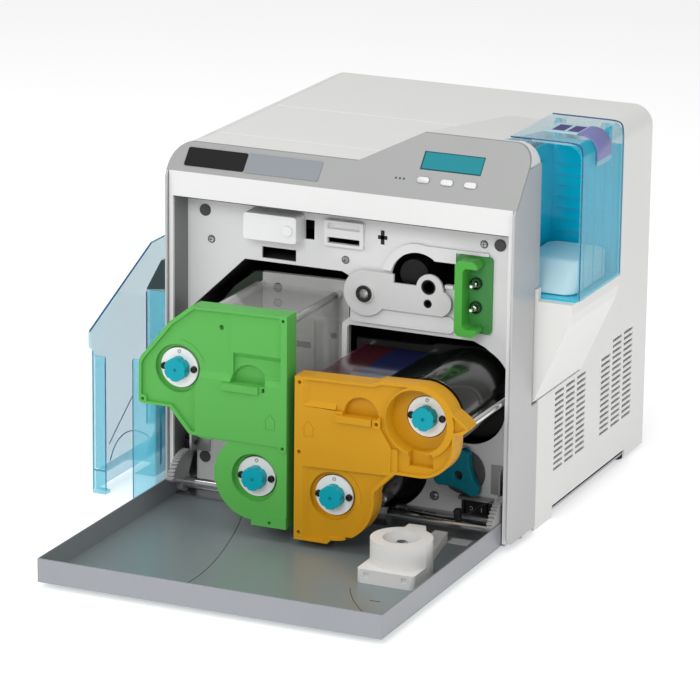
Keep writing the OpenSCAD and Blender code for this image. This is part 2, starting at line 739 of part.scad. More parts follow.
// ---- door ----
module door_side() {
  polygon([[door_front, door_z], [-0.8, door_z], [-0.8, pan_z + pass_gap], [hinge_y, hinge_z - arm_r],
           [hinge_y, hinge_z + arm_r], [-3, door_z + door_rim], [door_front, door_z + door_rim]]);
  disc([hinge_y, hinge_z], arm_r);
}
module front_door() {
  color("lightsteelblue") at_origin() {
    difference() {
      both_sides() along_x(door_x - door_t, door_x) door_side();
      along_x(-200, 200) disc([hinge_y, hinge_z], tube_r + run_fit);
    }
    box(-door_x, door_x, door_front, -0.8, door_z, door_z + door_t);
    box(-door_x, door_x, door_front, door_front + door_t, door_z, door_z + door_rim);
  }
}
module door_gear() {
  step = 360 / sector_teeth;
  shift = pinion_angle + step / 2;
  along_x(gear_x0, gear_x1) difference() {
    union() {
      translate([hinge_y, hinge_z]) intersection() {
        union() {
          circle(sector_r - gear_module * 1.15);
          rotate(shift) gear_teeth(sector_r, sector_teeth, -1, 12, 0.12);
        }
        polygon([[0, 0], 50 * [cos(58), sin(58)], 50 * [cos(110), sin(110)],
                 50 * [cos(164), sin(164)], [0, 0]]);
      }
      disc([hinge_y, hinge_z], arm_r);
    }
    disc([hinge_y, hinge_z], tube_r + run_fit);
  }
}
module door_gears() { color("lightgray") at_origin() both_sides() door_gear(); }
module door_latch() {
  z = door_z + door_t;
  color("white") at_origin() {
    box(-20, 16, door_front + 5, door_front + 17, z, z + 12);
    box(-39, -27, door_front + 3, door_front + 13, z, z + 16);
    box(26, 42, door_front + 3, door_front + 16, z, z + 14);
    box(99, 104, door_front + 4, door_front + 10, z, z + 8);
    box(119, 139, -16.5, -2, z, z + 0.6);
  }
}
module round_holder() {
  z = door_z + door_t;
  color("gainsboro") at_origin() difference() {
    union() {
      along_z(z, holder_top) translate(holder_c) circle(holder_r);
      along_z(z, z + 13) translate(holder_c) round_rect(-28, 27, -35, 12, 4);
      along_z(z, holder_top) translate(holder_c) polygon([[-9, 18], [-9, 37], [7, 38], [16, 18]]);
      along_z(z, z + 9) polygon([[holder_c[0] - 10, -92], [holder_c[0] + 14, -92], [129, -76],
                                 [118, -12], [106, -12], [105, -40]]);
    }
    along_z(z + 5, holder_top + 1) translate(holder_c) difference() {
      circle(17);
      circle(5);
    }
    along_z(z + 31, holder_top + 1) translate(holder_c) circle(6);
    for (x = [-21, 15]) translate(holder_c) box(x, x + 5, -36, -34, z + 5.5, z + 10);
  }
}

// ---- cassettes ----
// Small outline of a house, cut into the panels.
module house_mark(c) {
  points = [[0, 7.7], [-6.3, 0], [-4.6, 0], [-4.6, -7.7], [4.6, -7.7], [4.6, 0], [6.3, 0]];
  along_y(plate_front - 1, plate_front + 0.35) translate(c) difference() {
    polygon(points);
    scale(0.86) polygon(points);
  }
}
// Part of a thin ring, cut into the floor round a disc.
module arc_mark(c, a0, a1) {
  r = disc_r + 9;
  along_y(face_y - 2, face_y + 0.4) translate(c)
    polygon(concat([for (a = [a0 : 6 : a1]) r * [cos(a), sin(a)]],
                   [for (a = [a1 : -6 : a0]) (r + 0.6) * [cos(a), sin(a)]]));
}
module green_plate() {
  wall_y = face_y + 8;
  color("limegreen") at_origin() difference() {
    union() {
      along_y(face_y, plate_back) green_outline(0);
      along_y(plate_front, face_y) {
        difference() {
          green_outline(0);
          green_outline(-rim_w);
          rect(-165, green_right + 1, 0, 98);
        }
        rect(green_right - 6, green_right, 98, 220);
        for (c = [[-14, 97], [-14, 216], [-154.5, 125.5]]) disc(c, 4);
        rect(-44.7, green_right, 21, 33);
      }
      along_y(plate_front + 1, face_y) intersection() {
        green_outline(0);
        rect(-100, green_right, 0, 98);
      }
      along_y(face_y - 0.8, face_y) rect(-67, green_right - 5, 154, 219);
      along_x(-101.6, green_right - 3)
        polygon([[plate_front, 98], [plate_front, 153.5], [face_y, 159.5], [face_y, 98]]);
      along_y(plate_front - 2.5, face_y) rect(-74, -37.6, 145, 152);
    }
    difference() {
      along_y(wall_y, plate_back + 1) green_outline(-rim_w);
      for (c = [green_upper, green_lower]) along_y(wall_y - 1, plate_back + 2) disc(c, disc_r + 3);
      for (c = [green_rod_a, green_rod_b]) along_y(wall_y - 1, plate_back + 2) disc(c, rod_r + 2.5);
    }
    for (c = [green_upper, green_lower]) {
      along_y(plate_front - 3, plate_back + 3) disc(c, disc_r + 0.7);
      along_y(plate_front - 3, disc_front + 2) disc(c, disc_r + 4);
    }
    for (c = [green_rod_a, green_rod_b]) along_y(wall_y + 1, plate_back + 3) disc(c, rod_r);
    along_y(plate_front - 3, wall_y - 1) intersection() {
      disc([-49, 152], 17.5);
      rect(-80, 0, 152, 180);
    }
    along_x(-64, green_right - 6)
      polygon([[plate_front - 1, 159.5], [face_y, 159.5], [face_y + 3, 162], [face_y + 3, 176],
               [face_y - 1, 181], [plate_front - 1, 181]]);
    along_y(plate_front - 1, face_y + 2)
      for (c = [[-14, 97], [-26.5, 25], [-82.3, 95.9], [-14, 216], [-154.5, 125.5]]) disc(c, 1.6);
    along_y(plate_front - 1, face_y + 4) disc([-76, 202], 2.4);
    along_y(plate_front - 1, face_y + 2) rect(-34.6, -31.8, 147, 151);
    arc_mark(green_upper, 18, 86);
    house_mark([-26, 120.5]);
  }
}
module orange_plate() {
  wall_y = face_y + 8;
  color("orange") at_origin() difference() {
    union() {
      along_y(face_y, plate_back) orange_outline(0);
      along_y(plate_front, face_y) {
        polygon([[1.6, 141], [81, 139], [81.9, 128.7], [92.3, 113], [92, 87], [1.6, 84]]);
        difference() {
          orange_outline(0);
          orange_outline(-rim_w);
        }
        rect(orange_left, 6, orange_rail_z, 167);
        difference() {
          disc([119, 140], 33);
          disc(tub_c, tub_r);
        }
      }
      along_z(orange_rail_z + 2, 84) polygon([[6, plate_front], [12, face_y], [6, face_y]]);
      along_z(141, 165) polygon([[6, plate_front], [12, face_y], [6, face_y]]);
      along_x(3, 38) polygon([[plate_front, 141], [face_y, 146], [face_y, 141]]);
      along_y(plate_front + 1, face_y) rect(92, 98.5, 91, 112);
      along_y(plate_front - 2.5, face_y) rect(38.5, 73.5, 130.5, 137);
      along_y(plate_front - 1, face_y) round_rect(74.2, 81.9, 128.7, 138, 1);
      along_y(plate_front, face_y) for (c = [[2.5, 162], [2.5, 97], [2.5, 21]]) disc(c, 4);
    }
    difference() {
      along_y(wall_y, plate_back + 1) orange_outline(-rim_w);
      along_y(wall_y - 1, plate_back + 2) disc(orange_lower, disc_r + 3);
      along_y(wall_y - 1, plate_back + 2) disc(tub_c, tub_r + 2);
      for (c = [orange_rod_a, orange_rod_b, orange_rod_c])
        along_y(wall_y - 1, plate_back + 2) disc(c, rod_r + 2.5);
    }
    along_y(plate_front - 3, plate_front + tub_depth) disc(tub_c, tub_r);
    along_y(plate_front - 3, plate_back + 3) disc(orange_upper, disc_r + 0.7);
    along_y(plate_front - 3, plate_back + 3) disc(orange_lower, disc_r + 0.7);
    along_y(plate_front - 3, disc_front + 2) disc(orange_lower, disc_r + 4);
    for (c = [orange_rod_a, orange_rod_b, orange_rod_c])
      along_y(wall_y + 1, plate_back + 3) disc(c, rod_r);
    along_y(plate_front - 1, face_y + 7) rect(109, 132, 98.5, 112);
    along_y(plate_front - 3, wall_y - 1) intersection() {
      disc([62, 138], 17);
      rect(30, 90, 137, 170);
    }
    along_y(plate_front - 2, face_y + 2) for (c = [[2.5, 162], [2.5, 97], [2.5, 21], [78, 133]])
      disc(c, 1.8);
    arc_mark(orange_lower, -6, 72);
    house_mark([12, 120]);
  }
}
module back_plate(c1, c2, rods) {
  difference() {
    along_y(back_y, back_y + back_t) children();
    for (c = [c1, c2]) along_y(back_y - 1, back_y + back_t + 1) disc(c, journal_r + run_fit);
    for (c = rods) along_y(back_y - 1, back_y + 3) disc(c, rod_r);
  }
}
module green_back() {
  color("limegreen") at_origin() back_plate(green_upper, green_lower, [green_rod_a, green_rod_b])
    green_outline(0);
}
module orange_back() {
  color("orange") at_origin()
    back_plate(orange_upper, orange_lower, [orange_rod_a, orange_rod_b, orange_rod_c]) orange_outline(0);
}
module rods(points) {
  color("silver") at_origin() for (c = points) along_y(face_y + 9, back_y + 3) disc(c, rod_r);
}
module green_rods() { rods([green_rod_a, green_rod_b]); }
module orange_rods() { rods([orange_rod_a, orange_rod_b, orange_rod_c]); }
module green_film() {
  color("lightgray") at_origin() along_y(film_y0, film_y1) {
    web(green_upper, green_upper_roll_r + pass_gap, green_rod_a, rod_r, 1);
    wrap(green_rod_a);
    web(green_rod_a, rod_r, green_rod_b, rod_r, 1);
    wrap(green_rod_b);
    web(green_rod_b, rod_r, green_lower, green_lower_roll_r + pass_gap, 1);
  }
}
module orange_ribbon() {
  color("purple") at_origin() along_y(film_y0, film_y1) {
    web(orange_lower, orange_lower_roll_r + pass_gap, orange_rod_a, rod_r, 1);
    wrap(orange_rod_a);
    web(orange_rod_a, rod_r, orange_rod_b, rod_r, 1);
    wrap(orange_rod_b);
    web(orange_rod_b, rod_r, orange_upper, orange_upper_roll_r + pass_gap, 1);
  }
}
// Disc, core and wound roll that turn together.
module spool(c, disc_y, roll_r) {
  along_y(disc_y, disc_y + 3) disc(c, disc_r);
  along_y(disc_y + 3, back_y - 1) disc(c, 9);
  along_y(film_y0 - 2, film_y1 + 2) disc(c, roll_r);
  along_y(back_y - 1, back_y + back_t) disc(c, journal_r);
}
module knob(c, disc_y) {
  difference() {
    along_y(disc_y - knob_h, disc_y) difference() {
      disc(c, knob_r);
      for (a = [0 : 60 : 300]) disc(c + (knob_r + 1.6) * [cos(a), sin(a)], 2.6);
    }
    along_y(disc_y - knob_h - 1, disc_y - knob_h + 2) disc(c, 1.5);
  }
}
module green_upper_spool() { color("white") at_origin() spool(green_upper, disc_front, green_upper_roll_r); }
module green_lower_spool() { color("white") at_origin() spool(green_lower, disc_front, green_lower_roll_r); }
module orange_upper_spool() { color("white") at_origin() spool(orange_upper, tub_disc_front, orange_upper_roll_r); }
module orange_lower_spool() { color("white") at_origin() spool(orange_lower, disc_front, orange_lower_roll_r); }
module green_upper_knob() { color("darkcyan") at_origin() knob(green_upper, disc_front); }
module green_lower_knob() { color("darkcyan") at_origin() knob(green_lower, disc_front); }
module orange_upper_knob() { color("darkcyan") at_origin() knob(orange_upper, tub_disc_front); }
module orange_lower_knob() { color("darkcyan") at_origin() knob(orange_lower, disc_front); }

// ---- card hopper ----
// Front outline of the moulding that carries the hopper.
module hopper_base_front() {
  z = hopper_floor_z;
  polygon([[cover_in, z - 98], [cover_in + 4, z - 95], [hopper_x - 8, z - 27], [hopper_x - 5, z - 20],
           [hopper_x - 3, z - 10], [hopper_x - 3, z], [cover_in, z]]);
}
module hopper_base_side(g) {
  rect(hopper_y0 - 10 - g, hopper_y1 + 3 + g, hopper_floor_z - 98 - g, hopper_floor_z + g);
}
module hopper_base() {
  z = hopper_floor_z;
  color("whitesmoke") at_origin() {
    difference() {
      along_y(hopper_y0 - 10, hopper_y1 + 3) hopper_base_front();
      along_y(hopper_y0 - 7, hopper_y1) polygon([[cover_in - 1, z - 91], [cover_in + 3, z - 91],
               [hopper_x - 12, z - 24], [hopper_x - 7, z - 10], [hopper_x - 7, z - 4], [cover_in - 1, z - 4]]);
    }
    box(hopper_in - 2.5, cover_in, hopper_y0 - 2.5, hopper_y1 + 3, z - 2.5, z);
    box(hopper_in - 2.5, hopper_in, hopper_y0 - 2.5, hopper_y1 + 3, z, body_h);
    box(hopper_in, cover_in, hopper_y0 - 2.5, hopper_y0, z, body_h);
    box(hopper_in, cover_in, hopper_y1 + 0.5, hopper_y1 + 3, z, body_h);
    box(cover_in, column_out + 2, hopper_y0 - 10, hopper_y0 - 2, z, z + 11);
  }
}
module hopper_shell() {
  z = hopper_floor_z;
  x1 = hopper_x - hopper_t - pass_gap;
  ridge_z = body_h + pass_gap;
  color("deepskyblue", 0.6) at_origin() difference() {
    union() {
      box(hopper_in, x1, hopper_y0, hopper_y1, z, z + 2);
      box(hopper_in, x1, hopper_y1 - hopper_t, hopper_y1, z, hopper_top_z - 22);
      box(hopper_in, hopper_in + 17, hopper_y0, hopper_y0 + hopper_t, z, hopper_top_z - hopper_t - pass_gap);
      box(hopper_in + 9, hopper_in + 11, hopper_y0 - 1.5, hopper_y0, ridge_z, hopper_top_z - hopper_t - pass_gap);
      box(hopper_in + 15, hopper_in + 17, hopper_y0 - 1.5, hopper_y0 + 6, ridge_z, hopper_top_z - hopper_t - pass_gap);
      box(hopper_in, hopper_in + hopper_t, hopper_y0, hopper_y1, z, hopper_top_z - 24);
      for (x = [hopper_in + 6, x1 - 14]) along_x(x, x + 4) {
        rect(cover_pin[0] - 4, cover_pin[0] + 4, hopper_top_z - 30, cover_pin[1]);
        disc(cover_pin, 4);
      }
    }
    along_x(0, 300) disc(cover_pin, 1.5);
  }
}
module hopper_cover() {
  x0 = hopper_in;
  ri = hopper_round - hopper_t;
  c = [hopper_x - hopper_round, hopper_top_z - hopper_round];
  color("deepskyblue", 0.6) at_origin() difference() {
    union() {
      along_y(hopper_y0 + 1, hopper_y1 - 3) {
        rect(x0, c[0], hopper_top_z - hopper_t, hopper_top_z);
        rect(hopper_x - hopper_t, hopper_x, hopper_floor_z + 1, c[1]);
        intersection() {
          difference() {
            disc(c, hopper_round);
            disc(c, ri);
          }
          translate(c) square(hopper_round);
        }
      }
      for (x = [hopper_in + 10.3, hopper_x - hopper_t - 18.9]) along_x(x, x + 4) {
        rect(cover_pin[0] - 3, cover_pin[0] + 3, cover_pin[1], hopper_top_z - 1);
        disc(cover_pin, 4);
      }
      for (x = [hopper_in + 4, hopper_x - hopper_t - 20]) along_x(x, x + 10.5) disc(cover_pin, 1.45);
    }
    box(x0 - 1, x0 + 22, 0, hopper_y0 + 12, hopper_floor_z, 500);
  }
}
module hopper_catch() {
  c = [hopper_x - hopper_round, hopper_top_z - hopper_round];
  color("thistle") at_origin() along_y(hopper_y0 + 33, hopper_y0 + 68) {
    rect(160, c[0], hopper_top_z, hopper_top_z + catch_t);
    rect(hopper_x, hopper_x + catch_t, c[1] - 12, c[1]);
    intersection() {
      difference() {
        disc(c, hopper_round + catch_t);
        disc(c, hopper_round);
      }
      translate(c) square(hopper_round + catch_t);
    }
  }
}
module card_weight() {
  z = hopper_floor_z + 2 + pass_gap;
  color("white") at_origin() difference() {
    box(hopper_in + 4, hopper_x - 8, hopper_y0 + 8, hopper_y1 - 10.5, z, z + weight_h);
    box(hopper_in + 12, hopper_x - 16, hopper_y0 + 18, hopper_y1 - 20.5, z + 6, z + weight_h + 1);
  }
}

// ---- output tray ----
module output_tray() {
  y0 = -12;
  y1 = y0 + tray_d;
  xl = tray_left;
  xr = tray_right;
  t = tray_t;
  color("deepskyblue", 0.6) at_origin() {
    along_x(xl, xl + t) polygon([[y0, 3], [y1, 3], [y1, tray_h], [110, tray_h], [y0 - 6, tray_h - 56],
                                 [y0 - 6, tray_h - 71], [y0, tray_h - 76]]);
    along_x(xr - t, xr) polygon([[y0, 0], [y1, 0], [y1, 190], [60, 182], [y0 + 12, 137], [y0, 137]]);
    along_y(y0, y0 + t) {
      rect(xl + t, xl + 14, 3, 135);
      rect(xr - 24, xr - t, 0, 137);
    }
    box(xl, xl + 14, y0, y0 + 10, 0, 3);
    along_z(tray_floor_z, tray_floor_z + t) difference() {
      rect(xl + t, xr - t, y0 + t, y1);
      round_rect(xl + 14, xr - 24, y0 - 20, 34, 8);
    }
    box(xl + t, xr - t, y1 - t, y1, tray_floor_z + t, 150);
    along_x(xl + 30, xl + 30 + t)
      polygon([[38, tray_floor_z + t], [y1 - t, tray_floor_z + t], [y1 - t, 110], [y0 + 80, 60]]);
    along_y(20, 20 + t) rect(chute_left, xr - t, 65, hood_z);
    along_x(chute_left, chute_left + t) rect(20 + t, 60, 65, hood_z);
    box(xr, -cover_x - pass_gap / 3, y1 - 40, y1 - 5, 60, 140);
  }
}
// Dark hood over the place where the cards leave the body.
module output_hood() {
  y1 = tray_d - 22;
  color("dimgray") at_origin() difference() {
    along_y(20, y1) polygon([[chute_left, hood_z + 0.5], [tray_right - 10.3, hood_z + 30],
                             [-column_out, hood_z + 33], [-column_out, hood_z + 4]]);
    along_y(20 + tray_t, y1 + 1) polygon([[chute_left + 4, hood_z], [tray_right - 9, hood_z + 27],
                                          [-column_out - 2, hood_z + 30], [-column_out - 2, hood_z]]);
  }
}

base_pan();
feet();
left_column();
right_column();
front_fascia();
front_frame();
chassis_plate();
left_cover();
right_cover();
top_cover();
top_front_panel();
control_hump();
rear_panel();
mid_wall();
lcd_window();
name_badges();
led_windows();
hinge_tube();
switch_body();
pin_bracket();
bracket_pins();
sensor_cover();
grip_bar();
chassis_fixings();
damper_brackets();
output_tray();
output_hood();
hopper_base();
hopper_shell();
front_door();
door_gears();
door_latch();
round_holder();
damper_pinion_left();
damper_pinion_right();
green_plate();
green_back();
green_rods();
green_film();
green_upper_spool();
green_lower_spool();
green_upper_knob();
green_lower_knob();
orange_plate();
orange_back();
orange_rods();
orange_ribbon();
orange_upper_spool();
orange_lower_spool();
orange_upper_knob();
orange_lower_knob();
button_left();
button_middle();
button_right();
power_rocker();
hopper_cover();
hopper_catch();
card_weight();
lock_knob();
lever_arm();
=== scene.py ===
import math

import bmesh
import bpy
from mathutils import Matrix, Vector


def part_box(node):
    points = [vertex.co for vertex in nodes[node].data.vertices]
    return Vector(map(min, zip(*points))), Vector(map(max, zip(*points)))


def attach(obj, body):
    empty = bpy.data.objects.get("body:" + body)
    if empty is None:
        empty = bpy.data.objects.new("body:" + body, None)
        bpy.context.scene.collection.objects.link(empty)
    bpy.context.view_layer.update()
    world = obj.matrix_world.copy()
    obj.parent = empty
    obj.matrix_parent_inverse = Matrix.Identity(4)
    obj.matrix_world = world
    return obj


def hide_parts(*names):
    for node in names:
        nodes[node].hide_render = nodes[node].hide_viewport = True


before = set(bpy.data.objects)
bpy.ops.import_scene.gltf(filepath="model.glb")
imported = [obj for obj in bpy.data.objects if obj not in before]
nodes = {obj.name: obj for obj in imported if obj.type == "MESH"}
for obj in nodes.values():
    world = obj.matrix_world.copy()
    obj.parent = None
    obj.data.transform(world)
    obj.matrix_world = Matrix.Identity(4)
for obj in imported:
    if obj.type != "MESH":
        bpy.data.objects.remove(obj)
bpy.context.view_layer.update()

# ---- Camera, floor and lights ----
# The printer stands on a bright plain floor in soft studio light.
# The camera looks a little down on it from the front right.
YAW = math.radians(24.073)
PITCH = math.radians(16.383)
ROLL = math.radians(0.655)
CAMERA_PLACE = Vector((1.4320, -3.1811, 1.1815))
camera_data = bpy.data.cameras.new("camera")
camera_data.sensor_width = 36.0
camera_data.lens = 202.89
camera_data.clip_end = 30.0
camera = bpy.data.objects.new("camera", camera_data)
bpy.context.scene.collection.objects.link(camera)
camera.matrix_world = (
    Matrix.Translation(CAMERA_PLACE)
    @ Matrix.Rotation(YAW, 4, "Z")
    @ Matrix.Rotation(math.radians(90) - PITCH, 4, "X")
    @ Matrix.Rotation(ROLL, 4, "Z")
)
bpy.context.scene.camera = camera

world = bpy.data.worlds.new("studio")
bpy.context.scene.world = world
world.use_nodes = True
world.node_tree.nodes["Background"].inputs["Color"].default_value = (1.0, 1.0, 1.0, 1.0)
world.node_tree.nodes["Background"].inputs["Strength"].default_value = 0.36
bpy.context.scene.view_settings.view_transform = "Standard"


def soft_light(name, place, target, size, power):
    lamp = bpy.data.lights.new(name, "AREA")
    lamp.shape = "RECTANGLE"
    lamp.size = size[0]
    lamp.size_y = size[1]
    lamp.energy = power
    holder = bpy.data.objects.new(name, lamp)
    bpy.context.scene.collection.objects.link(holder)
    holder.location = place
    holder.rotation_euler = (Vector(target) - Vector(place)).to_track_quat("-Z", "Y").to_euler()


soft_light("light_over", (-0.3, -0.4, 2.6), (0, 0, 0.1), (2.4, 2.0), 30)
soft_light("light_left", (-2.4, -1.6, 1.5), (0, 0, 0.15), (1.6, 1.6), 16)
soft_light("light_right", (2.6, -1.2, 1.4), (0.1, 0, 0.15), (1.4, 1.8), 17)
soft_light("light_front", (0.3, -3.0, 1.9), (0, 0, 0.1), (1.6, 1.0), 36)

floor_mesh = bmesh.new()
bmesh.ops.create_grid(floor_mesh, x_segments=1, y_segments=1, size=7.0)
floor_data = bpy.data.meshes.new("floor")
floor_mesh.to_mesh(floor_data)
floor_mesh.free()
floor = bpy.data.objects.new("floor", floor_data)
bpy.context.scene.collection.objects.link(floor)
floor_paint = bpy.data.materials.new("floor_paint")
floor_paint.use_nodes = True
floor_shader = floor_paint.node_tree.nodes["Principled BSDF"]
floor_shader.inputs["Base Color"].default_value = (0.90, 0.90, 0.90, 1.0)
floor_shader.inputs["Roughness"].default_value = 0.6
floor_shader.inputs["Emission Color"].default_value = (1.0, 1.0, 1.0, 1.0)
floor_shader.inputs["Emission Strength"].default_value = 0.42
floor_data.materials.append(floor_paint)


# ---- White covers ----
# The covers are injection-moulded in warm light grey plastic with a fine grain,
# and the top ones have lightly rounded edges. A black sheet behind the side
# vents is painted shade inside them, and a plain strip lies in the gap above
# the rear panel.
FRONT_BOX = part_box("front_frame")
ZERO = Vector(((FRONT_BOX[0][0] + FRONT_BOX[1][0]) / 2, FRONT_BOX[0][1], 0.0))


def at(x, y, z):
    """A place given in millimetres from the middle of the white front frame, as metres of the frame."""
    return ZERO + Vector((x, y, z)) / 1000


def finish_nodes(material, *names):
    for name in names:
        mesh = nodes[name].data
        mesh.materials.clear()
        mesh.materials.append(material)


def grained(name, colour, shade, roughness, grain=0.0006, depth=0.08, metallic=0.0, coat=0.0, gleam=0.25):
    """A plastic or paint whose colour drifts slightly between colour and shade, over a fine grain."""
    material = bpy.data.materials.new(name)
    material.use_nodes = True
    tree = material.node_tree
    shader = tree.nodes["Principled BSDF"]
    shader.inputs["Metallic"].default_value = metallic
    shader.inputs["Specular IOR Level"].default_value = gleam
    shader.inputs["Coat Weight"].default_value = coat
    shader.inputs["Coat Roughness"].default_value = 0.08
    place = tree.nodes.new("ShaderNodeTexCoord")
    clouds = tree.nodes.new("ShaderNodeTexNoise")
    clouds.inputs["Scale"].default_value = 9.0
    clouds.inputs["Detail"].default_value = 4.0
    tree.links.new(place.outputs["Object"], clouds.inputs["Vector"])
    tint = tree.nodes.new("ShaderNodeMix")
    tint.data_type = "RGBA"
    tint.inputs["A"].default_value = (*colour, 1.0)
    tint.inputs["B"].default_value = (*shade, 1.0)
    tree.links.new(clouds.outputs["Fac"], tint.inputs["Factor"])
    tree.links.new(tint.outputs["Result"], shader.inputs["Base Color"])
    grains = tree.nodes.new("ShaderNodeTexNoise")
    grains.inputs["Scale"].default_value = 1.0 / grain
    grains.inputs["Detail"].default_value = 2.0
    tree.links.new(place.outputs["Object"], grains.inputs["Vector"])
    gloss = tree.nodes.new("ShaderNodeMapRange")
    gloss.inputs["To Min"].default_value = roughness - 0.06
    gloss.inputs["To Max"].default_value = roughness + 0.06
    tree.links.new(clouds.outputs["Fac"], gloss.inputs["Value"])
    tree.links.new(gloss.outputs["Result"], shader.inputs["Roughness"])
    bump = tree.nodes.new("ShaderNodeBump")
    bump.inputs["Strength"].default_value = depth
    bump.inputs["Distance"].default_value = 0.0002
    tree.links.new(grains.outputs["Fac"], bump.inputs["Height"])
    tree.links.new(bump.outputs["Normal"], shader.inputs["Normal"])
    return material


def paint_region(material, colour, x=(None, None), y=(None, None), z=(None, None)):
    """Gives the part of a material that lies between these limits, in millimetres, a colour of its own."""
    tree = material.node_tree
    base = tree.nodes["Principled BSDF"].inputs["Base Color"]
    place = tree.nodes.new("ShaderNodeTexCoord")
    split = tree.nodes.new("ShaderNodeSeparateXYZ")
    tree.links.new(place.outputs["Object"], split.inputs["Vector"])
    mask = None
    for axis, limits in enumerate((x, y, z)):
        for limit, side in zip(limits, ("GREATER_THAN", "LESS_THAN")):
            if limit is None:
                continue
            test = tree.nodes.new("ShaderNodeMath")
            test.operation = side
            tree.links.new(split.outputs[axis], test.inputs[0])
            test.inputs[1].default_value = ZERO[axis] + limit / 1000
            if mask is None:
                mask = test.outputs["Value"]
                continue
            both = tree.nodes.new("ShaderNodeMath")
            both.operation = "MULTIPLY"
            tree.links.new(mask, both.inputs[0])
            tree.links.new(test.outputs["Value"], both.inputs[1])
            mask = both.outputs["Value"]
    tint = tree.nodes.new("ShaderNodeMix")
    tint.data_type = "RGBA"
    tree.links.new(mask, tint.inputs["Factor"])
    tree.links.new(base.links[0].from_socket, tint.inputs["A"])
    tint.inputs["B"].default_value = (*colour, 1.0)
    tree.links.new(tint.outputs["Result"], base)


def soften(width, *names):
    """Rounds the sharp edges of rigid parts by width, in metres."""
    for name in names:
        part = nodes[name]
        weld = part.modifiers.new("weld", "WELD")
        weld.merge_threshold = 0.00002
        flat = part.modifiers.new("flat", "DECIMATE")
        flat.decimate_type = "DISSOLVE"
        flat.angle_limit = math.radians(0.5)
        edge = part.modifiers.new("edge", "BEVEL")
        edge.width = width
        edge.segments = 2
        edge.limit_method = "ANGLE"
        edge.angle_limit = math.radians(35)


def finished_piece(name, mesh, material, body, crease=32):
    """Closes a mesh's seams, turns its faces outwards and hands it to the body that carries it."""
    bmesh.ops.remove_doubles(mesh, verts=mesh.verts, dist=0.000004)
    bmesh.ops.recalc_face_normals(mesh, faces=mesh.faces)
    data = bpy.data.meshes.new(name)
    mesh.to_mesh(data)
    mesh.free()
    data.polygons.foreach_set("use_smooth", [True] * len(data.polygons))
    data.set_sharp_from_angle(angle=math.radians(crease))
    data.materials.append(material)
    made = bpy.data.objects.new(name, data)
    bpy.context.scene.collection.objects.link(made)
    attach(made, body)
    return made


def rounded_block(mesh, low, high, radius, segments=2):
    """Adds a block between two corners, in millimetres, with its edges rounded by radius."""
    block = bmesh.ops.create_cube(mesh, size=1.0)["verts"]
    near, far = at(*low), at(*high)
    bmesh.ops.scale(mesh, vec=far - near, verts=block)
    bmesh.ops.translate(mesh, vec=(near + far) / 2, verts=block)
    edges = list({edge for vert in block for edge in vert.link_edges})
    bmesh.ops.bevel(mesh, geom=edges, offset=radius / 1000, affect="EDGES", segments=segments,
                    profile=0.5, material=-1)


cover_plastic = grained("cover_plastic", (0.77, 0.768, 0.75), (0.74, 0.738, 0.722), 0.42)
finish_nodes(cover_plastic, "left_cover", "right_cover", "top_cover", "top_front_panel", "control_hump",
             "rear_panel", "hopper_base")
soften(0.0008, "top_cover", "top_front_panel", "hopper_base", "control_hump")
# A black sheet behind the side vents paints the shade inside them.
shade_and_mark_black = grained("shade_and_mark_black", (0.03, 0.03, 0.032), (0.02, 0.02, 0.022), 0.6)
vent_shade_sheet = bmesh.new()
rounded_block(vent_shade_sheet, (167.4, 36, 40), (168.7, 330, 166), 0.4)
finished_piece("vent_shade_sheet", vent_shade_sheet, shade_and_mark_black, "printer")
FACING_FRONT = Matrix.Rotation(math.radians(90), 4, "X")
STRIP_REACH, STRIP_FRONT, STRIP_BACK = 152, 350.7, 352.8
CORNER_ROUND = 0.0168
rear_strip = bmesh.new()
rounded_block(rear_strip, (-STRIP_REACH, STRIP_FRONT, 321), (STRIP_REACH, STRIP_BACK, 340.4), 0.2, 1)
for x in (-STRIP_REACH, STRIP_REACH):
    corner = Matrix.Translation(at(x, (STRIP_FRONT + STRIP_BACK) / 2, 323.5)) @ FACING_FRONT
    bmesh.ops.create_cone(rear_strip, cap_ends=True, segments=64, radius1=CORNER_ROUND, radius2=CORNER_ROUND,
                          depth=(STRIP_BACK - STRIP_FRONT) / 1000, matrix=corner)
finished_piece("rear_strip", rear_strip, cover_plastic, "printer")

# ---- Front frame and silver surround ----
# The white frame round the bay and the silver fascia and columns before it are
# painted mouldings. The frame's left inner wall is painted dark grey as painted
# shade, and thin dark strips paint the shade in the gaps where the frame meets
# the columns and the fascia.
frame_plastic = grained("frame_plastic", (0.73, 0.73, 0.73), (0.70, 0.70, 0.70), 0.36)
# The frame's left inner wall is painted dark grey: painted shade.
paint_region(frame_plastic, (0.19, 0.20, 0.195), x=(None, -165.6), y=(3.2, None))
finish_nodes(frame_plastic, "front_frame")
fascia_paint = grained("fascia_paint", (0.335, 0.34, 0.335), (0.31, 0.315, 0.31), 0.4,
                       grain=0.0004, depth=0.05, metallic=0.15)
column_paint = grained("column_paint", (0.49, 0.49, 0.495), (0.46, 0.46, 0.465), 0.36,
                       grain=0.0004, depth=0.05, metallic=0.3)
finish_nodes(fascia_paint, "front_fascia")
finish_nodes(column_paint, "left_column", "right_column")
soften(0.0008, "front_fascia", "left_column", "right_column", "front_frame")
gap_black = grained("gap_black", (0.06, 0.06, 0.06), (0.05, 0.05, 0.05), 0.7)
# Thin dark strips in the two seams and along the top of the bay paint the shade in these gaps.
SEAM_X, SEAM_HALF = 170.15, 0.25
frame_gap_shade = bmesh.new()
for side in (-1, 1):
    seam = side * SEAM_X
    rounded_block(frame_gap_shade, (seam - SEAM_HALF, -0.25, 30), (seam + SEAM_HALF, 0.4, 318.5), 0.1, 1)
rounded_block(frame_gap_shade, (-166, 0.6, 294.6), (166, 29, 295.2), 0.1, 1)
finished_piece("frame_gap_shade", frame_gap_shade, gap_black, "printer")
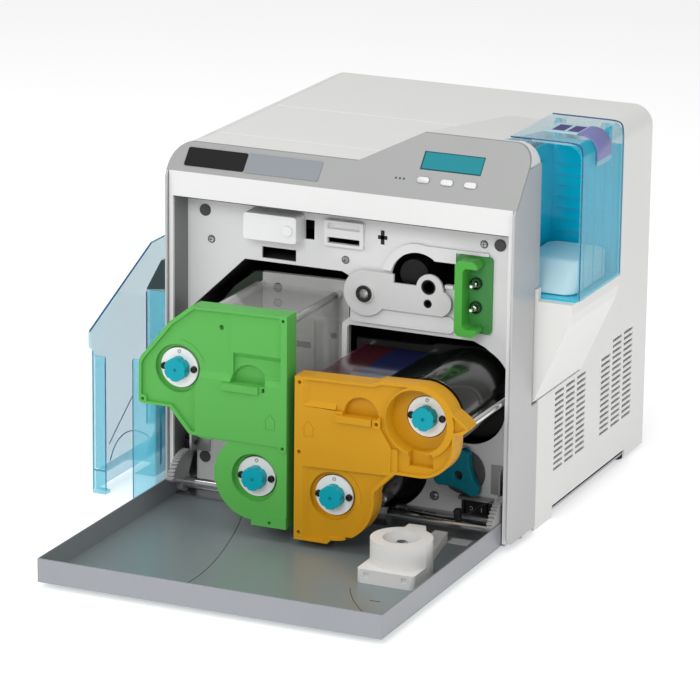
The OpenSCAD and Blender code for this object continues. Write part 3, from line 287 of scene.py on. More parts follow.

# ---- Display, badges and menu keys ----
# The display is a tinted window, and a dark border painted round its pane is
# painted shade from the edge of its recess. The two bare badges are printed
# foils, the left one black and the right one silver. The three keys are satin
# silver, and the three lamps are smoked plastic.
display = grained("display", (0.022, 0.235, 0.275), (0.018, 0.21, 0.25), 0.4, gleam=0.08)
PANE_LEFT, PANE_RIGHT, PANE_FOOT, PANE_TOP = 72.2, 128.8, 342.9, 355.4
BORDER_SHADE_TEAL = (0.012, 0.085, 0.10)
# The dark teal border round the pane is painted shade from the recess edge.
for left, right in ((None, PANE_LEFT), (PANE_RIGHT, None)):
    paint_region(display, BORDER_SHADE_TEAL, x=(left, right))
for foot, top in ((None, PANE_FOOT), (PANE_TOP, None)):
    paint_region(display, BORDER_SHADE_TEAL, z=(foot, top))
finish_nodes(display, "lcd_window")
badge_foil = grained("badge_foil", (0.014, 0.014, 0.015), (0.012, 0.012, 0.013), 0.45, depth=0.02, gleam=0.1)
BADGE_SPLIT = -96.55
paint_region(badge_foil, (0.25, 0.268, 0.29), x=(BADGE_SPLIT, None))
finish_nodes(badge_foil, "name_badges")
smoked = grained("smoked", (0.05, 0.05, 0.055), (0.04, 0.04, 0.045), 0.2)
finish_nodes(smoked, "led_windows")
key_satin = grained("key_satin", (0.62, 0.62, 0.63), (0.58, 0.58, 0.59), 0.3, metallic=0.3)
finish_nodes(key_satin, "button_left", "button_middle", "button_right")
soften(0.0005, "button_left", "button_middle", "button_right", "name_badges")

# ---- Chassis plate ----
# A white powder-coated steel plate closes the bay. It carries a sensor cover
# and a grip bar in the same white, a dark cross-shaped mark, dark blanking plugs
# and small pan-head screws.
chassis_paint = grained("chassis_paint", (0.80, 0.80, 0.81), (0.77, 0.77, 0.78), 0.4)
finish_nodes(chassis_paint, "chassis_plate", "sensor_cover", "grip_bar")
soften(0.0006, "sensor_cover", "grip_bar")


def turn_on_y(mesh, x, z, profile, steps=36):
    """Spins a profile of (radius, y) pairs, in millimetres, about a level axis from front to back."""
    points = [mesh.verts.new(at(x + radius, y, z)) for radius, y in profile]
    lines = [mesh.edges.new(pair) for pair in zip(points, points[1:])]
    bmesh.ops.spin(mesh, geom=points + lines, cent=at(x, 0, z), axis=(0, 1, 0), dvec=(0, 0, 0),
                   angle=math.tau, steps=steps, use_merge=True, use_duplicate=False)


def pan_head(mesh, x, y, z, radius, rise):
    """Adds the head of a screw, its seat at y and its top towards the front, in millimetres."""
    turn_on_y(mesh, x, z, [(0, y), (radius, y), (radius, y - rise * 0.35), (radius * 0.8, y - rise * 0.85),
                           (radius * 0.3, y - rise), (0, y - rise)], 28)


def plain_ring(inner, outer, back, front):
    """The profile of a flat ring between two radii, in millimetres."""
    return [(inner, back), (outer, back), (outer, front), (inner, front), (inner, back)]


CHASSIS_Y = 31.0
plug_and_shade_grey = grained("plug_and_shade_grey", (0.085, 0.088, 0.088), (0.07, 0.072, 0.072), 0.5)
PLUG_RADIUS, PLUG_FACE = 5.6, 29.9
plugs = bmesh.new()
for x, z in ((-148, 276.7), (146, 277.6), (-148, 37.8)):
    turn_on_y(plugs, x, z, [(0, CHASSIS_Y), (PLUG_RADIUS, CHASSIS_Y), (PLUG_RADIUS, 30.2), (5.2, 29.7),
                            (4.6, PLUG_FACE), (0, PLUG_FACE)])
blanking_plugs = finished_piece("blanking_plugs", plugs, plug_and_shade_grey, "printer")
screw_zinc = grained("screw_zinc", (0.55, 0.55, 0.55), (0.42, 0.42, 0.43), 0.3, metallic=0.8)
CROSS_BACK, CROSS_HALF = 29.4, 0.35
# A dark cross on each screw head and a dark ring round it are painted shade in the cross recess and round the
# head.
heads = bmesh.new()
recess = bmesh.new()
for x, z, radius in ((-141.6, 249.7, 2.9), (-5.6, 246, 2.9), (130.4, 276.8, 2.9), (86.3, 33.1, 3.6)):
    pan_head(heads, x, CHASSIS_Y, z, radius, 1.7)
    arm = radius * 0.62
    rounded_block(recess, (x - arm, 29.15, z - CROSS_HALF), (x + arm, CROSS_BACK, z + CROSS_HALF), 0.08, 1)
    rounded_block(recess, (x - CROSS_HALF, 29.14, z - arm), (x + CROSS_HALF, CROSS_BACK, z + arm), 0.08, 1)
    turn_on_y(recess, x, z, plain_ring(radius + 0.1, radius + 0.9, 30.98, 30.8))
plate_screws = finished_piece("plate_screws", heads, screw_zinc, "printer")
finished_piece("screw_recess_shade", recess, plug_and_shade_grey, "printer")
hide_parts("chassis_fixings")
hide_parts("chassis_fixings")

MARK_FACE = CHASSIS_Y - 0.4
plate_marks = bmesh.new()
rounded_block(plate_marks, (29.2, MARK_FACE, 264.8), (32.8, CHASSIS_Y, 278.0), 0.12, 1)
rounded_block(plate_marks, (26.4, MARK_FACE, 269.6), (35.6, CHASSIS_Y, 273.2), 0.12, 1)
finished_piece("plate_cross", plate_marks, shade_and_mark_black, "printer")

# ---- Inner wall, base pan and cassette wells ----
# Behind the plate a dark steel wall carries the rails and the rubber feed
# roller, and a bare steel pan is the floor. A dark sheet lines each cassette's
# way in as painted shade for the dark inside of its slot.
inner_steel = grained("inner_steel", (0.05, 0.05, 0.052), (0.035, 0.035, 0.037), 0.45,
                      metallic=0.4, gleam=0.3)
ROLLER_BLACK = (0.012, 0.012, 0.013)
paint_region(inner_steel, ROLLER_BLACK, x=(45, 80), y=(30, 179), z=(224, 256))
finish_nodes(inner_steel, "mid_wall")
pan_steel = grained("pan_steel", (0.40, 0.41, 0.43), (0.33, 0.34, 0.36), 0.32, metallic=0.9, depth=0.03)
finish_nodes(pan_steel, "base_pan")
# The wells are dark sheets: painted shade for the dark inside of each cassette's slot.
well_shade = grained("well_shade", (0.075, 0.078, 0.075), (0.06, 0.062, 0.06), 0.42, gleam=0.4)
WELL_FRONT = CHASSIS_Y + 2.05
WELL_DEPTH = 0.118
WELL_WALL = 0.0008


def well_lining(name, corners):
    """Bends a sheet round the given corners, runs it back from the plate and gives it a wall."""
    lining = bmesh.new()
    points = [lining.verts.new(at(x, WELL_FRONT, z)) for x, z in corners]
    rim = [lining.edges.new(pair) for pair in zip(points, points[1:])]
    drawn = bmesh.ops.extrude_edge_only(lining, edges=rim)["geom"]
    far_rim = [item for item in drawn if isinstance(item, bmesh.types.BMVert)]
    bmesh.ops.translate(lining, vec=(0, WELL_DEPTH, 0), verts=far_rim)
    bmesh.ops.recalc_face_normals(lining, faces=lining.faces)
    bmesh.ops.solidify(lining, geom=lining.faces[:], thickness=WELL_WALL)
    finished_piece(name, lining, well_shade, "printer")


well_lining("green_well", [(-161.5, 128), (-161.5, 185.2), (-150.9, 195.4), (-107.9, 236.2), (-9, 236.2),
                           (-2, 233), (0.8, 226), (0.8, 189)])
well_lining("orange_well", [(2.5, 187), (122, 187), (134.3, 182), (140.6, 177.6), (148, 171.5), (154.5, 164),
                            (158.5, 156)])

# ---- Lever arm ----
# A pale painted arm swings on a stepped pin. A dark bush and a steel screw hold
# it, and a dark sleeve lines each of its two holes.
lever_paint = grained("lever_paint", (0.66, 0.66, 0.665), (0.62, 0.62, 0.625), 0.36)
finish_nodes(lever_paint, "lever_arm")
soften(0.0006, "lever_arm")
LEVER_X, LEVER_Z = 17, 219
dark_bush = grained("dark_bush", (0.05, 0.05, 0.045), (0.03, 0.03, 0.028), 0.35, metallic=0.5)
BUSH_BORE, BUSH_RADIUS, BUSH_SEAT = 4.4, 7.9, 21.95
SLEEVE_BACK, SLEEVE_FRONT = 27.6, 24.4
bush = bmesh.new()
turn_on_y(bush, LEVER_X, LEVER_Z, [(BUSH_BORE, BUSH_SEAT), (BUSH_RADIUS, BUSH_SEAT), (BUSH_RADIUS, 21.2),
                                   (7.2, 20.8), (5.2, 20.9), (BUSH_BORE, 21.5), (BUSH_BORE, BUSH_SEAT)])
for x, z, inner, outer in ((79.4, 232, 5.9, 6.95), (79, 216.5, 3.1, 3.95)):
    turn_on_y(bush, x, z, plain_ring(inner, outer, SLEEVE_BACK, SLEEVE_FRONT))
finished_piece("lever_bushes", bush, dark_bush, "lever")
lever_screw = bmesh.new()
pan_head(lever_screw, LEVER_X, 21.9, LEVER_Z, 4.0, 1.9)
finished_piece("lever_screw", lever_screw, screw_zinc, "lever")

# ---- Pin bracket ----
# A green moulding holds two spring pins, each in a dark turned cup. Its base is
# painted a darker green than its raised hook, as painted shade on the base. The
# pins, the cassette rods and the hinge tube are bright steel.
bracket_green = grained("bracket_green", (0.075, 0.40, 0.055), (0.06, 0.36, 0.045), 0.32)
# The darker green of the base is painted shade.
paint_region(bracket_green, (0.055, 0.27, 0.065), y=(26.9, None))
finish_nodes(bracket_green, "pin_bracket")
soften(0.0007, "pin_bracket")
bright_steel = grained("bright_steel", (0.78, 0.77, 0.76), (0.70, 0.70, 0.70), 0.14, metallic=1.0, depth=0.02)
finish_nodes(bright_steel, "green_rods", "orange_rods", "hinge_tube")
PIN_X = 125
pins = bmesh.new()
cups = bmesh.new()
for z in (218.4, 240.7):
    turn_on_y(pins, PIN_X, z, [(0, 29), (2.9, 29), (2.9, 21.5), (1.9, 20.5), (1.9, 15.4), (1.3, 14.6),
                               (0, 14.5)])
    turn_on_y(cups, PIN_X, z, [(4.4, 27.9), (5.6, 27.9), (5.6, 25.2), (5.1, 24.7), (4.6, 25.2), (4.4, 27.9)])
spring_pins = finished_piece("spring_pins", pins, bright_steel, "printer")
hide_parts("bracket_pins")
finished_piece("pin_cups", cups, dark_bush, "printer")

# ---- Locking knob ----
# A three-lobed knob is moulded in dark teal, with a dark grey flange behind it.
# A dark screw stands in its middle.
LOCK_X, LOCK_Z = 115, 61
lock_teal = grained("lock_teal", (0.0, 0.19, 0.25), (0.0, 0.17, 0.225), 0.4, gleam=0.2)
paint_region(lock_teal, (0.10, 0.10, 0.10), y=(27.0, None))
finish_nodes(lock_teal, "lock_knob")
soften(0.0009, "lock_knob")
lock_screw = bmesh.new()
turn_on_y(lock_screw, LOCK_X, LOCK_Z, [(0, 22.0), (3.9, 22.0), (3.9, 19.6), (3.4, 19.0), (2.6, 19.2),
                                       (2.2, 20.6), (0, 20.6)], 28)
finished_piece("lock_screw", lock_screw, dark_bush, "lock")

# ---- Power switch ----
# A black rocker sits in its frame, with a white ring and a white bar raised on
# its two halves. A folded galvanised shelf shields it from above.
black_plastic = grained("black_plastic", (0.018, 0.018, 0.02), (0.014, 0.014, 0.016), 0.35, gleam=0.4)
finish_nodes(black_plastic, "switch_body", "power_rocker", "damper_pinion_left", "damper_pinion_right")
soften(0.0005, "switch_body", "power_rocker")
switch_white = grained("switch_white", (0.62, 0.62, 0.62), (0.58, 0.58, 0.58), 0.5)
SWING = Matrix.Rotation(math.radians(-6), 4, "Z")
ROCKER = at(129, 35, 26.5)
MARK_REACH = 0.0055
marks = bmesh.new()
ring = bmesh.ops.create_circle(marks, cap_ends=True, radius=0.0019, segments=28,
                               matrix=Matrix.Translation((-MARK_REACH, -0.00535, 0)) @ FACING_FRONT)
face = ring["verts"][0].link_faces[0]
bmesh.ops.inset_individual(marks, faces=[face], thickness=0.0005, depth=0.0)
bmesh.ops.delete(marks, geom=[face], context="FACES_ONLY")
bmesh.ops.solidify(marks, geom=marks.faces[:], thickness=0.00012)
BAR_SIZE = Matrix.Diagonal((0.0006, 0.0002, 0.004, 1))
bmesh.ops.create_cube(marks, size=1.0, matrix=Matrix.Translation((MARK_REACH, -0.0053, 0)) @ BAR_SIZE)
bmesh.ops.transform(marks, matrix=Matrix.Translation(ROCKER) @ SWING, verts=marks.verts)
finished_piece("switch_marks", marks, switch_white, "power_switch")
galvanised = grained("galvanised", (0.52, 0.52, 0.52), (0.34, 0.34, 0.345), 0.36,
                     grain=0.004, metallic=0.8, depth=0.04)
SHELF_LEFT, SHELF_RIGHT, SHELF_FRONT, SHELF_TOP = 112.5, 146, 23.5, 39.2
shelf = bmesh.new()
rounded_block(shelf, (SHELF_LEFT, SHELF_FRONT, 38.2), (SHELF_RIGHT, CHASSIS_Y, SHELF_TOP), 0.3)
rounded_block(shelf, (SHELF_LEFT, SHELF_FRONT, 36.2), (SHELF_RIGHT, 24.4, SHELF_TOP), 0.3)
finished_piece("switch_shelf", shelf, galvanised, "printer")

# ---- Door hinge ----
# The door turns on polished steel tubes under a folded sill. A black clip with
# a short wire holds the right tube, and damped gears on galvanised brackets
# brake the door.
SILL_LEFT, SILL_RIGHT, SILL_TOP = 51, 150, 20.6
sill = bmesh.new()
rounded_block(sill, (SILL_LEFT, 25, 19.4), (SILL_RIGHT, CHASSIS_Y, SILL_TOP), 0.3)
rounded_block(sill, (SILL_LEFT, 24.2, 17.4), (SILL_RIGHT, 25.2, SILL_TOP), 0.3)
finished_piece("door_sill", sill, galvanised, "printer")
sill_slots = bmesh.new()
for low, high in ((53, 60), (63, 77), (80, 91)):
    rounded_block(sill_slots, (low, 24.05, 18.3), (high, 24.3, 19.3), 0.1, 1)
finished_piece("sill_slots", sill_slots, gap_black, "printer")
clip = bmesh.new()
rounded_block(clip, (117, 2.8, 22.5), (123, 9.5, 33), 0.9)
rounded_block(clip, (116.2, 3.6, 29.4), (123.8, 8.6, 31.4), 0.5)
finished_piece("tube_clip", clip, black_plastic, "printer")


def fine_line(name, stops, radius, material, body):
    """Lays a thin round line, such as a scribed mark or a wire, through stops in millimetres."""
    line = bpy.data.curves.new(name, "CURVE")
    line.dimensions = "3D"
    line.bevel_depth = radius / 1000
    line.bevel_resolution = 1
    run = line.splines.new("NURBS")
    run.points.add(len(stops) - 1)
    for point, stop in zip(run.points, stops):
        point.co = (*at(*stop), 1.0)
    run.order_u = 4 if len(stops) > 3 else 3
    run.use_endpoint_u = True
    line.materials.append(material)
    piece = bpy.data.objects.new(name, line)
    bpy.context.scene.collection.objects.link(piece)
    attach(piece, body)


fine_line("clip_wire", ((123, 5, 30), (129, 4, 29), (134, 7, 31.5), (139, 10, 37), (145, 12, 40),
                        (150, 16, 41)), 0.4, black_plastic, "printer")
finish_nodes(galvanised, "damper_brackets")
gear_cast = grained("gear_cast", (0.42, 0.42, 0.42), (0.36, 0.36, 0.36), 0.45, metallic=0.3)
finish_nodes(gear_cast, "door_gears")

# ---- Front door ----
# The door is one folded steel tray with a pale moulded latch. Its rim is silver
# grey and its floor a darker satin grey, with two short slots and two thin
# scribed arcs.
door_steel = grained("door_steel", (0.31, 0.32, 0.345), (0.285, 0.295, 0.32), 0.34, metallic=0.35, depth=0.02)
paint_region(door_steel, (0.25, 0.29, 0.30), y=(-265.3, None), z=(None, 7.3))
finish_nodes(door_steel, "front_door")
soften(0.0005, "front_door")
latch_plastic = grained("latch_plastic", (0.55, 0.56, 0.57), (0.50, 0.51, 0.52), 0.4)
finish_nodes(latch_plastic, "door_latch")
soften(0.0008, "door_latch")
DOOR_FLOOR = 7.0
LEFT_ARC = ((-45, -235), (-42, -200), (-46, -160), (-55, -117), (-68, -65), (-82, -25))
RIGHT_ARC = ((90, -165), (95, -176), (104, -191), (120, -211), (140, -231))
for name, arc in (("door_arc_left", LEFT_ARC), ("door_arc_right", RIGHT_ARC)):
    fine_line(name, [(x, y, DOOR_FLOOR) for x, y in arc], 0.35, gap_black, "front_door")
SLOT_HALF = 0.1
door_slots = bmesh.new()
for left, front, right, back in ((-15, -240, 8, -238), (118, -186, 128, -184.6)):
    rounded_block(door_slots, (left, front, DOOR_FLOOR - SLOT_HALF), (right, back, DOOR_FLOOR + SLOT_HALF),
                  0.08, 1)
finished_piece("door_slots", door_slots, gap_black, "front_door")

# ---- Round holder ----
# A pale moulded cup on the door takes the knob of the orange cassette. A ribbed
# grey pin stands in its bore.
holder_plastic = grained("holder_plastic", (0.70, 0.69, 0.67), (0.66, 0.65, 0.635), 0.42)
finish_nodes(holder_plastic, "round_holder")
soften(0.0009, "round_holder")
HOLDER_X, HOLDER_Y = 116, -112.7
RIB_COUNT, RIB_RADIUS, RIB_HALF = 8, 5.1, 0.6
pin_grey = grained("pin_grey", (0.30, 0.33, 0.36), (0.24, 0.27, 0.30), 0.4)
ribs = bmesh.new()
bmesh.ops.create_cone(ribs, cap_ends=True, segments=24, radius1=0.0052, radius2=0.0048, depth=0.026,
                      matrix=Matrix.Translation(at(HOLDER_X, HOLDER_Y, 25)))
for turn in range(RIB_COUNT):
    angle = math.tau * turn / RIB_COUNT
    x, y = HOLDER_X + RIB_RADIUS * math.cos(angle), HOLDER_Y + RIB_RADIUS * math.sin(angle)
    rounded_block(ribs, (x - RIB_HALF, y - RIB_HALF, 12.5), (x + RIB_HALF, y + RIB_HALF, 37.6), 0.25, 1)
finished_piece("holder_pin_ribs", ribs, pin_grey, "front_door")

# ---- Green cassette ----
# A bright green moulding carries the green cassette. The sheet at its back is
# light grey with a dark left end, and its raised panel, slot, ring and screw
# show through the film. The slot, the ring round the screw and two dark discs
# are painted shade in a slot, round the screw head and in two holes.
green_plastic = grained("green_plastic", (0.105, 0.43, 0.085), (0.092, 0.395, 0.074), 0.4, gleam=0.2)
finish_nodes(green_plastic, "green_plate")
soften(0.0007, "green_plate")
back_grey = grained("back_grey", (0.60, 0.60, 0.59), (0.54, 0.54, 0.53), 0.45)
paint_region(back_grey, (0.03, 0.045, 0.03), x=(None, -98))
finish_nodes(back_grey, "green_back")
panel_grey = grained("panel_grey", (0.66, 0.66, 0.65), (0.61, 0.61, 0.60), 0.45)
BACK_FACE = 49.9
back_panel = bmesh.new()
rounded_block(back_panel, (-74, 48.6, 104), (-44.4, BACK_FACE, 178), 0.5)
rounded_block(back_panel, (-97, 49.2, 181), (-8, BACK_FACE, 184), 0.3)
finished_piece("green_back_panel", back_panel, panel_grey, "green_cassette")
# These dark marks are painted shade in a slot, two holes and round the screw head.
back_shade_marks = bmesh.new()
rounded_block(back_shade_marks, (-62.8, 48.3, 151.8), (-47.9, 48.6, 157.6), 0.14, 1)
for x, z, radius in ((-82.4, 205.8, 4.6), (-25.2, 166.6, 3.0)):
    turn_on_y(back_shade_marks, x, z, [(0, BACK_FACE), (radius, BACK_FACE), (radius, 49.5), (radius - 0.5, 49.4),
                                 (0, 49.6)])
BACK_SCREW_X, BACK_SCREW_Z = -82.3, 191.4
turn_on_y(back_shade_marks, BACK_SCREW_X, BACK_SCREW_Z, plain_ring(3.0, 4.0, BACK_FACE, 49.3))
finished_piece("green_back_shade_marks", back_shade_marks, plug_and_shade_grey, "green_cassette")
back_screw = bmesh.new()
pan_head(back_screw, BACK_SCREW_X, BACK_FACE, BACK_SCREW_Z, 2.7, 1.4)
finished_piece("green_back_screw", back_screw, screw_zinc, "green_cassette")

# ---- Orange cassette ----
# The second cassette is moulded in warm orange. Its back sheet is black, and an
# olive card guide lies behind the ribbon.
orange_plastic = grained("orange_plastic", (0.60, 0.295, 0.008), (0.56, 0.27, 0.006), 0.4, gleam=0.2)
finish_nodes(orange_plastic, "orange_plate")
soften(0.0007, "orange_plate")
back_black = grained("back_black", (0.022, 0.022, 0.022), (0.016, 0.016, 0.016), 0.4, gleam=0.3)
finish_nodes(back_black, "orange_back")
olive = grained("olive", (0.085, 0.075, 0.02), (0.06, 0.055, 0.015), 0.4)
guide = bmesh.new()
rounded_block(guide, (36, 46.5, 126), (69, BACK_FACE, 157.5), 0.8)
finished_piece("card_guide", guide, olive, "orange_cassette")

# ---- Spools ----
# Each spool is a white moulded disc ahead of a wound roll, turned by a teal
# knob with a small hollow pin. Two black domed screws stand in the disc and a
# small raised ring marks its top.
DISC_FRONT = -79.0
TUB_DISC_FRONT = -68.5
DISC_THICK = 3.2
DISC_WHITE = (0.84, 0.84, 0.835)


def spool_finish(name, disc_y, roll, roughness, coat):
    shade = tuple(0.7 * part for part in roll)
    finish = grained(name + "_finish", roll, shade, roughness, coat=coat, gleam=0.5)
    paint_region(finish, DISC_WHITE, y=(None, disc_y + DISC_THICK))
    finish_nodes(finish, name)
    soften(0.0005, name)


spool_finish("green_upper_spool", DISC_FRONT, (0.30, 0.31, 0.30), 0.25, 0.4)
spool_finish("green_lower_spool", DISC_FRONT, (0.10, 0.11, 0.10), 0.25, 0.4)
spool_finish("orange_upper_spool", TUB_DISC_FRONT, (0.008, 0.010, 0.007), 0.22, 0.6)
spool_finish("orange_lower_spool", DISC_FRONT, (0.020, 0.012, 0.010), 0.22, 0.6)
teal_plastic = grained("teal_plastic", (0.0, 0.34, 0.42), (0.0, 0.31, 0.385), 0.36, gleam=0.18)
finish_nodes(teal_plastic, "green_upper_knob", "green_lower_knob", "orange_upper_knob", "orange_lower_knob")
soften(0.0007, "green_upper_knob", "green_lower_knob", "orange_upper_knob", "orange_lower_knob")
screw_black = grained("screw_black", (0.016, 0.014, 0.013), (0.012, 0.011, 0.01), 0.22)
ring_grey = grained("ring_grey", (0.40, 0.42, 0.40), (0.34, 0.36, 0.34), 0.4)
SPOOLS = (("green_upper", -119.9, 158.0, DISC_FRONT), ("green_lower", -42.2, 65.4, DISC_FRONT),
          ("orange_upper", 119.5, 141.4, TUB_DISC_FRONT), ("orange_lower", 35.0, 59.0, DISC_FRONT))
SCREW_REACH, MARK_RISE = 15, 15.3
for body, x, z, face_y in SPOOLS:
    domes = bmesh.new()
    for side in (-SCREW_REACH, SCREW_REACH):
        turn_on_y(domes, x + side, z, [(0, face_y + 0.2), (3.2, face_y + 0.2), (3.2, face_y - 1.6),
                                       (2.7, face_y - 2.7), (1.4, face_y - 3.2), (1.2, face_y - 2.3),
                                       (0, face_y - 2.2)], 28)
    finished_piece(body + "_screws", domes, screw_black, body, 40)
    mark = bmesh.new()
    turn_on_y(mark, x, z + MARK_RISE, [(0.8, face_y + 0.1), (1.8, face_y + 0.1), (1.8, face_y - 0.35),
                                       (1.5, face_y - 0.5), (1.0, face_y - 0.5), (0.8, face_y - 0.3),
                                       (0.8, face_y + 0.1)], 24)
    finished_piece(body + "_mark", mark, ring_grey, body)
    hollow_pin = bmesh.new()
    turn_on_y(hollow_pin, x, z, [(0.75, face_y - 8.2), (1.35, face_y - 8.2), (1.35, face_y - 10.3),
                                 (0.95, face_y - 10.5), (0.75, face_y - 10.2), (0.75, face_y - 8.2)], 20)
    finished_piece(body + "_pin", hollow_pin, teal_plastic, body)

# ---- Film and ribbon ----
# The clear film runs over two polished rods. The printing ribbon is a black
# glossy film with magenta, maroon and blue panels lying side by side.


def film(name, tint, cover, roughness):
    shade = tuple(0.9 * part for part in tint)
    material = grained(name, tint, shade, roughness, grain=0.02, depth=0.05, coat=0.8)
    material.node_tree.nodes["Principled BSDF"].inputs["Alpha"].default_value = cover
    return material


clear_film = film("clear_film", (0.60, 0.60, 0.58), 0.32, 0.12)
finish_nodes(clear_film, "green_film")
dye_ribbon = film("dye_ribbon", (0.006, 0.009, 0.008), 0.93, 0.14)
for panel_end, dye in ((76, (0.012, 0.016, 0.060)), (42, (0.050, 0.010, 0.014)), (13, (0.110, 0.010, 0.055))):
    paint_region(dye_ribbon, dye, x=(None, panel_end))
finish_nodes(dye_ribbon, "orange_ribbon")

# ---- Hopper ----
# Clear blue plastic forms the card hopper. Its rear wall carries fine level
# lines, its cover upright ribs and a lavender catch with two dark windows. A
# pale block weighs down the cards.


def clear_blue(name, colour, cover):
    """Clear tinted plastic: every wall holds back a share of the light and tints it."""
    shade = tuple(0.93 * part for part in colour)
    material = grained(name, colour, shade, 0.14, grain=0.03, depth=0.03, coat=0.6, gleam=0.6)
    material.node_tree.nodes["Principled BSDF"].inputs["Alpha"].default_value = cover
    return material


cover_blue = clear_blue("cover_blue", (0.0, 0.44, 0.60), 0.34)
# The cover's top face is painted pale: a painted sheen of the light on it.
paint_region(cover_blue, (0.62, 0.84, 0.90), z=(368.2, None))
finish_nodes(cover_blue, "hopper_cover")
shell_blue = clear_blue("shell_blue", (0.0, 0.70, 0.95), 0.86)
finish_nodes(shell_blue, "hopper_shell")
HOPPER_IN, HOPPER_OUT, HOPPER_FRONT, HOPPER_REAR, HOPPER_FLOOR = 139.0, 211.0, 62.0, 170.0, 224.0
EDGE_FOOT, EDGE_TOP = 226.5, 366
edge_navy = grained("edge_navy", (0.012, 0.075, 0.22), (0.008, 0.06, 0.19), 0.15, coat=0.5)
shell_edges = bmesh.new()
for left, front, right, back, radius in ((156.1, 61.0, 157.0, 66.5, 0.3), (148.4, 60.0, 149.6, 60.6, 0.2),
                                         (139.4, 60.9, 140.4, 61.8, 0.3)):
    rounded_block(shell_edges, (left, front, EDGE_FOOT), (right, back, EDGE_TOP), radius, 1)
finished_piece("hopper_edges", shell_edges, edge_navy, "printer")
line_blue = grained("line_blue", (0.10, 0.44, 0.62), (0.08, 0.38, 0.55), 0.25)
LINE_COUNT, LINE_PITCH = 8, 10.5
hopper_lines = bmesh.new()
for step in range(LINE_COUNT):
    rise = step * LINE_PITCH
    rounded_block(hopper_lines, (146, 166.6, 250 + rise), (204, 167.2, 250.6 + rise), 0.15, 1)
finished_piece("hopper_lines", hopper_lines, line_blue, "printer")
COVER_RIB_COUNT, COVER_RIB_PITCH = 4, 24
cover_ribs = bmesh.new()
for step in range(COVER_RIB_COUNT):
    run = step * COVER_RIB_PITCH
    rounded_block(cover_ribs, (207.2, 78 + run, 232), (208.3, 79 + run, 350), 0.3, 1)
finished_piece("cover_ribs", cover_ribs, line_blue, "hopper_lid")
COVER_TOP, COVER_SIDE = 370.2, 210.2
for name, y in (("cover_edge_front", 63.6), ("cover_edge_rear", 166.4)):
    fine_line(name, ((140.5, y, COVER_TOP), (170, y, COVER_TOP), (196, y, COVER_TOP), (210.0, y, 370.0),
                     (COVER_SIDE, y, 356), (COVER_SIDE, y, 290), (COVER_SIDE, y, EDGE_FOOT)),
              0.7, edge_navy, "hopper_lid")
catch_lavender = grained("catch_lavender", (0.19, 0.20, 0.44), (0.17, 0.18, 0.40), 0.36, gleam=0.3)
paint_region(catch_lavender, (0.42, 0.60, 0.68), x=(None, 192))
paint_region(catch_lavender, (0.20, 0.42, 0.52), z=(None, 348))
for window in ((165, 177), (180, 191)):
    paint_region(catch_lavender, (0.045, 0.03, 0.17), x=window, y=(101, 124), z=(371, None))
finish_nodes(catch_lavender, "hopper_catch")
soften(0.0006, "hopper_catch")
weight_plastic = grained("weight_plastic", (0.62, 0.86, 0.92), (0.58, 0.82, 0.89), 0.3)
WEIGHT_FLOOR, WEIGHT_HEIGHT = HOPPER_FLOOR + 2.3, 27
weight = bmesh.new()
block = bmesh.ops.create_cube(weight, size=1.0)["verts"]
low = at(HOPPER_IN + 5, HOPPER_FRONT + 9, WEIGHT_FLOOR)
high = at(HOPPER_OUT - 9, HOPPER_REAR - 11.5, WEIGHT_FLOOR + WEIGHT_HEIGHT)
bmesh.ops.scale(weight, vec=high - low, verts=block)
bmesh.ops.translate(weight, vec=(low + high) / 2, verts=block)
upright = [edge for edge in weight.edges if abs(edge.verts[0].co.z - edge.verts[1].co.z) > 0.01]
bmesh.ops.bevel(weight, geom=upright, offset=0.012, affect="EDGES", segments=6, profile=0.5, material=-1)
front_top = [vert for vert in weight.verts if vert.co.z > high.z - 0.001 and vert.co.y < low.y + 0.02]
bmesh.ops.translate(weight, vec=(0, 0.024, 0), verts=front_top)
rim = [edge for edge in weight.edges if edge.is_manifold and edge.calc_face_angle(0) > 0.7]
bmesh.ops.bevel(weight, geom=rim, offset=0.003, affect="EDGES", segments=4, profile=0.5, material=-1)
weight_piece = finished_piece("weight_block", weight, weight_plastic, "weight", 40)
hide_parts("card_weight")

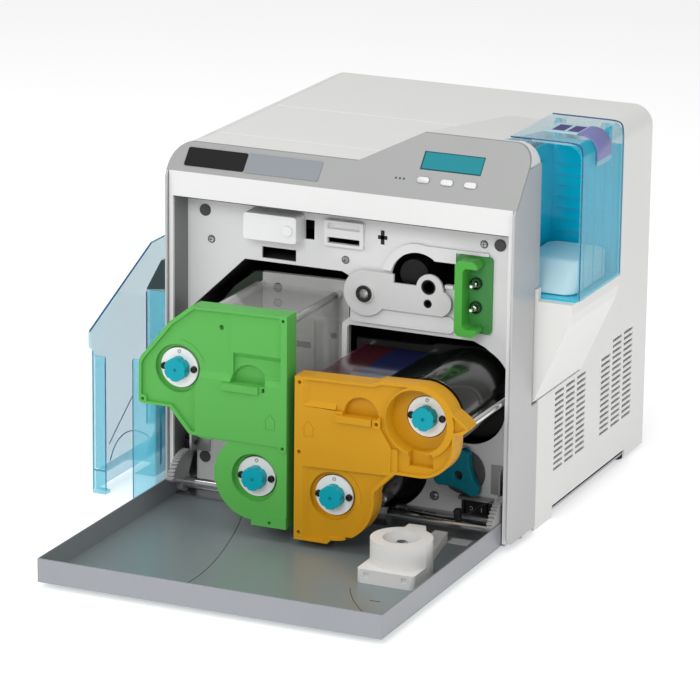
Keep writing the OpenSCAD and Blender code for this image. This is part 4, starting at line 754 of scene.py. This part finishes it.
# ---- Output tray ----
# The tray is one clear blue moulding. Its edges and ribs catch the light as
# deep blue lines, and a dark hood covers the mouth of the chute.
tray_blue = clear_blue("tray_blue", (0.0, 0.56, 0.74), 0.36)
finish_nodes(tray_blue, "output_tray")
TRAY_LEFT, TRAY_RIGHT, LIP_Y = -245.3, -178.3, -11.4
EDGE_X, LIP_LEFT, LIP_RIGHT, WEB_X = TRAY_LEFT + 1.2, TRAY_LEFT + 14, TRAY_RIGHT - 24, TRAY_LEFT + 5
CHUTE_X, CORNER_X, FOOT_Z = -203.6, -190.8, 23
tray_edge = grained("tray_edge", (0.012, 0.085, 0.26), (0.01, 0.07, 0.22), 0.15, coat=0.5)
for name, radius, stops in (
    ("tray_edge_slope", 0.9, ((EDGE_X, -17.4, 160), (EDGE_X, 46, 188), (EDGE_X, 108, 214.8))),
    ("tray_edge_ear", 0.6, ((EDGE_X, 108, 215.4), (EDGE_X, 128, 215.6), (EDGE_X, 149, 215.4))),
    ("tray_edge_front", 0.6, ((EDGE_X, LIP_Y, 139.5), (EDGE_X, LIP_Y, 70), (EDGE_X, LIP_Y, 4))),
    ("tray_edge_lip", 0.5, ((LIP_LEFT, LIP_Y, 134), (LIP_LEFT, LIP_Y, 70), (LIP_LEFT, LIP_Y, 4))),
    ("tray_edge_right", 0.6, ((LIP_RIGHT, LIP_Y, 136), (LIP_RIGHT, LIP_Y, 70), (LIP_RIGHT, LIP_Y, 1))),
    ("tray_edge_foot", 0.7, [(TRAY_LEFT + reach, -11.2, FOOT_Z) for reach in (2, 8, 13)]),
    ("tray_chute_edge", 0.7, ((CHUTE_X, 19.6, 66), (CHUTE_X, 19.6, 130), (CHUTE_X, 19.6, 194))),
    ("tray_chute_corner", 0.9, ((CORNER_X, 22.8, 26), (CORNER_X, 22.8, 50), (CORNER_X, 22.8, 82))),
    ("tray_ramp_line", 0.5, ((WEB_X, 13, 42), (WEB_X, 38, 60), (WEB_X, 63, 77))),
    ("tray_arch_line", 0.5, ((WEB_X, 14.7, 24.6), (WEB_X, 22, 38), (WEB_X, 39.6, 44.6), (WEB_X, 62.6, 42.7),
                             (WEB_X, 85.7, 32.4), (WEB_X, 95.4, 25.0))),
):
    fine_line(name, stops, radius, tray_edge, "printer")
hood_dark = grained("hood_dark", (0.02, 0.045, 0.05), (0.015, 0.035, 0.04), 0.3)
finish_nodes(hood_dark, "output_hood")

# ---- Feet ----
# The printer stands on four black rubber feet, which fit under the corners of
# the base pan.
rubber = grained("rubber", (0.03, 0.03, 0.03), (0.02, 0.02, 0.02), 0.7)
finish_nodes(rubber, "feet")
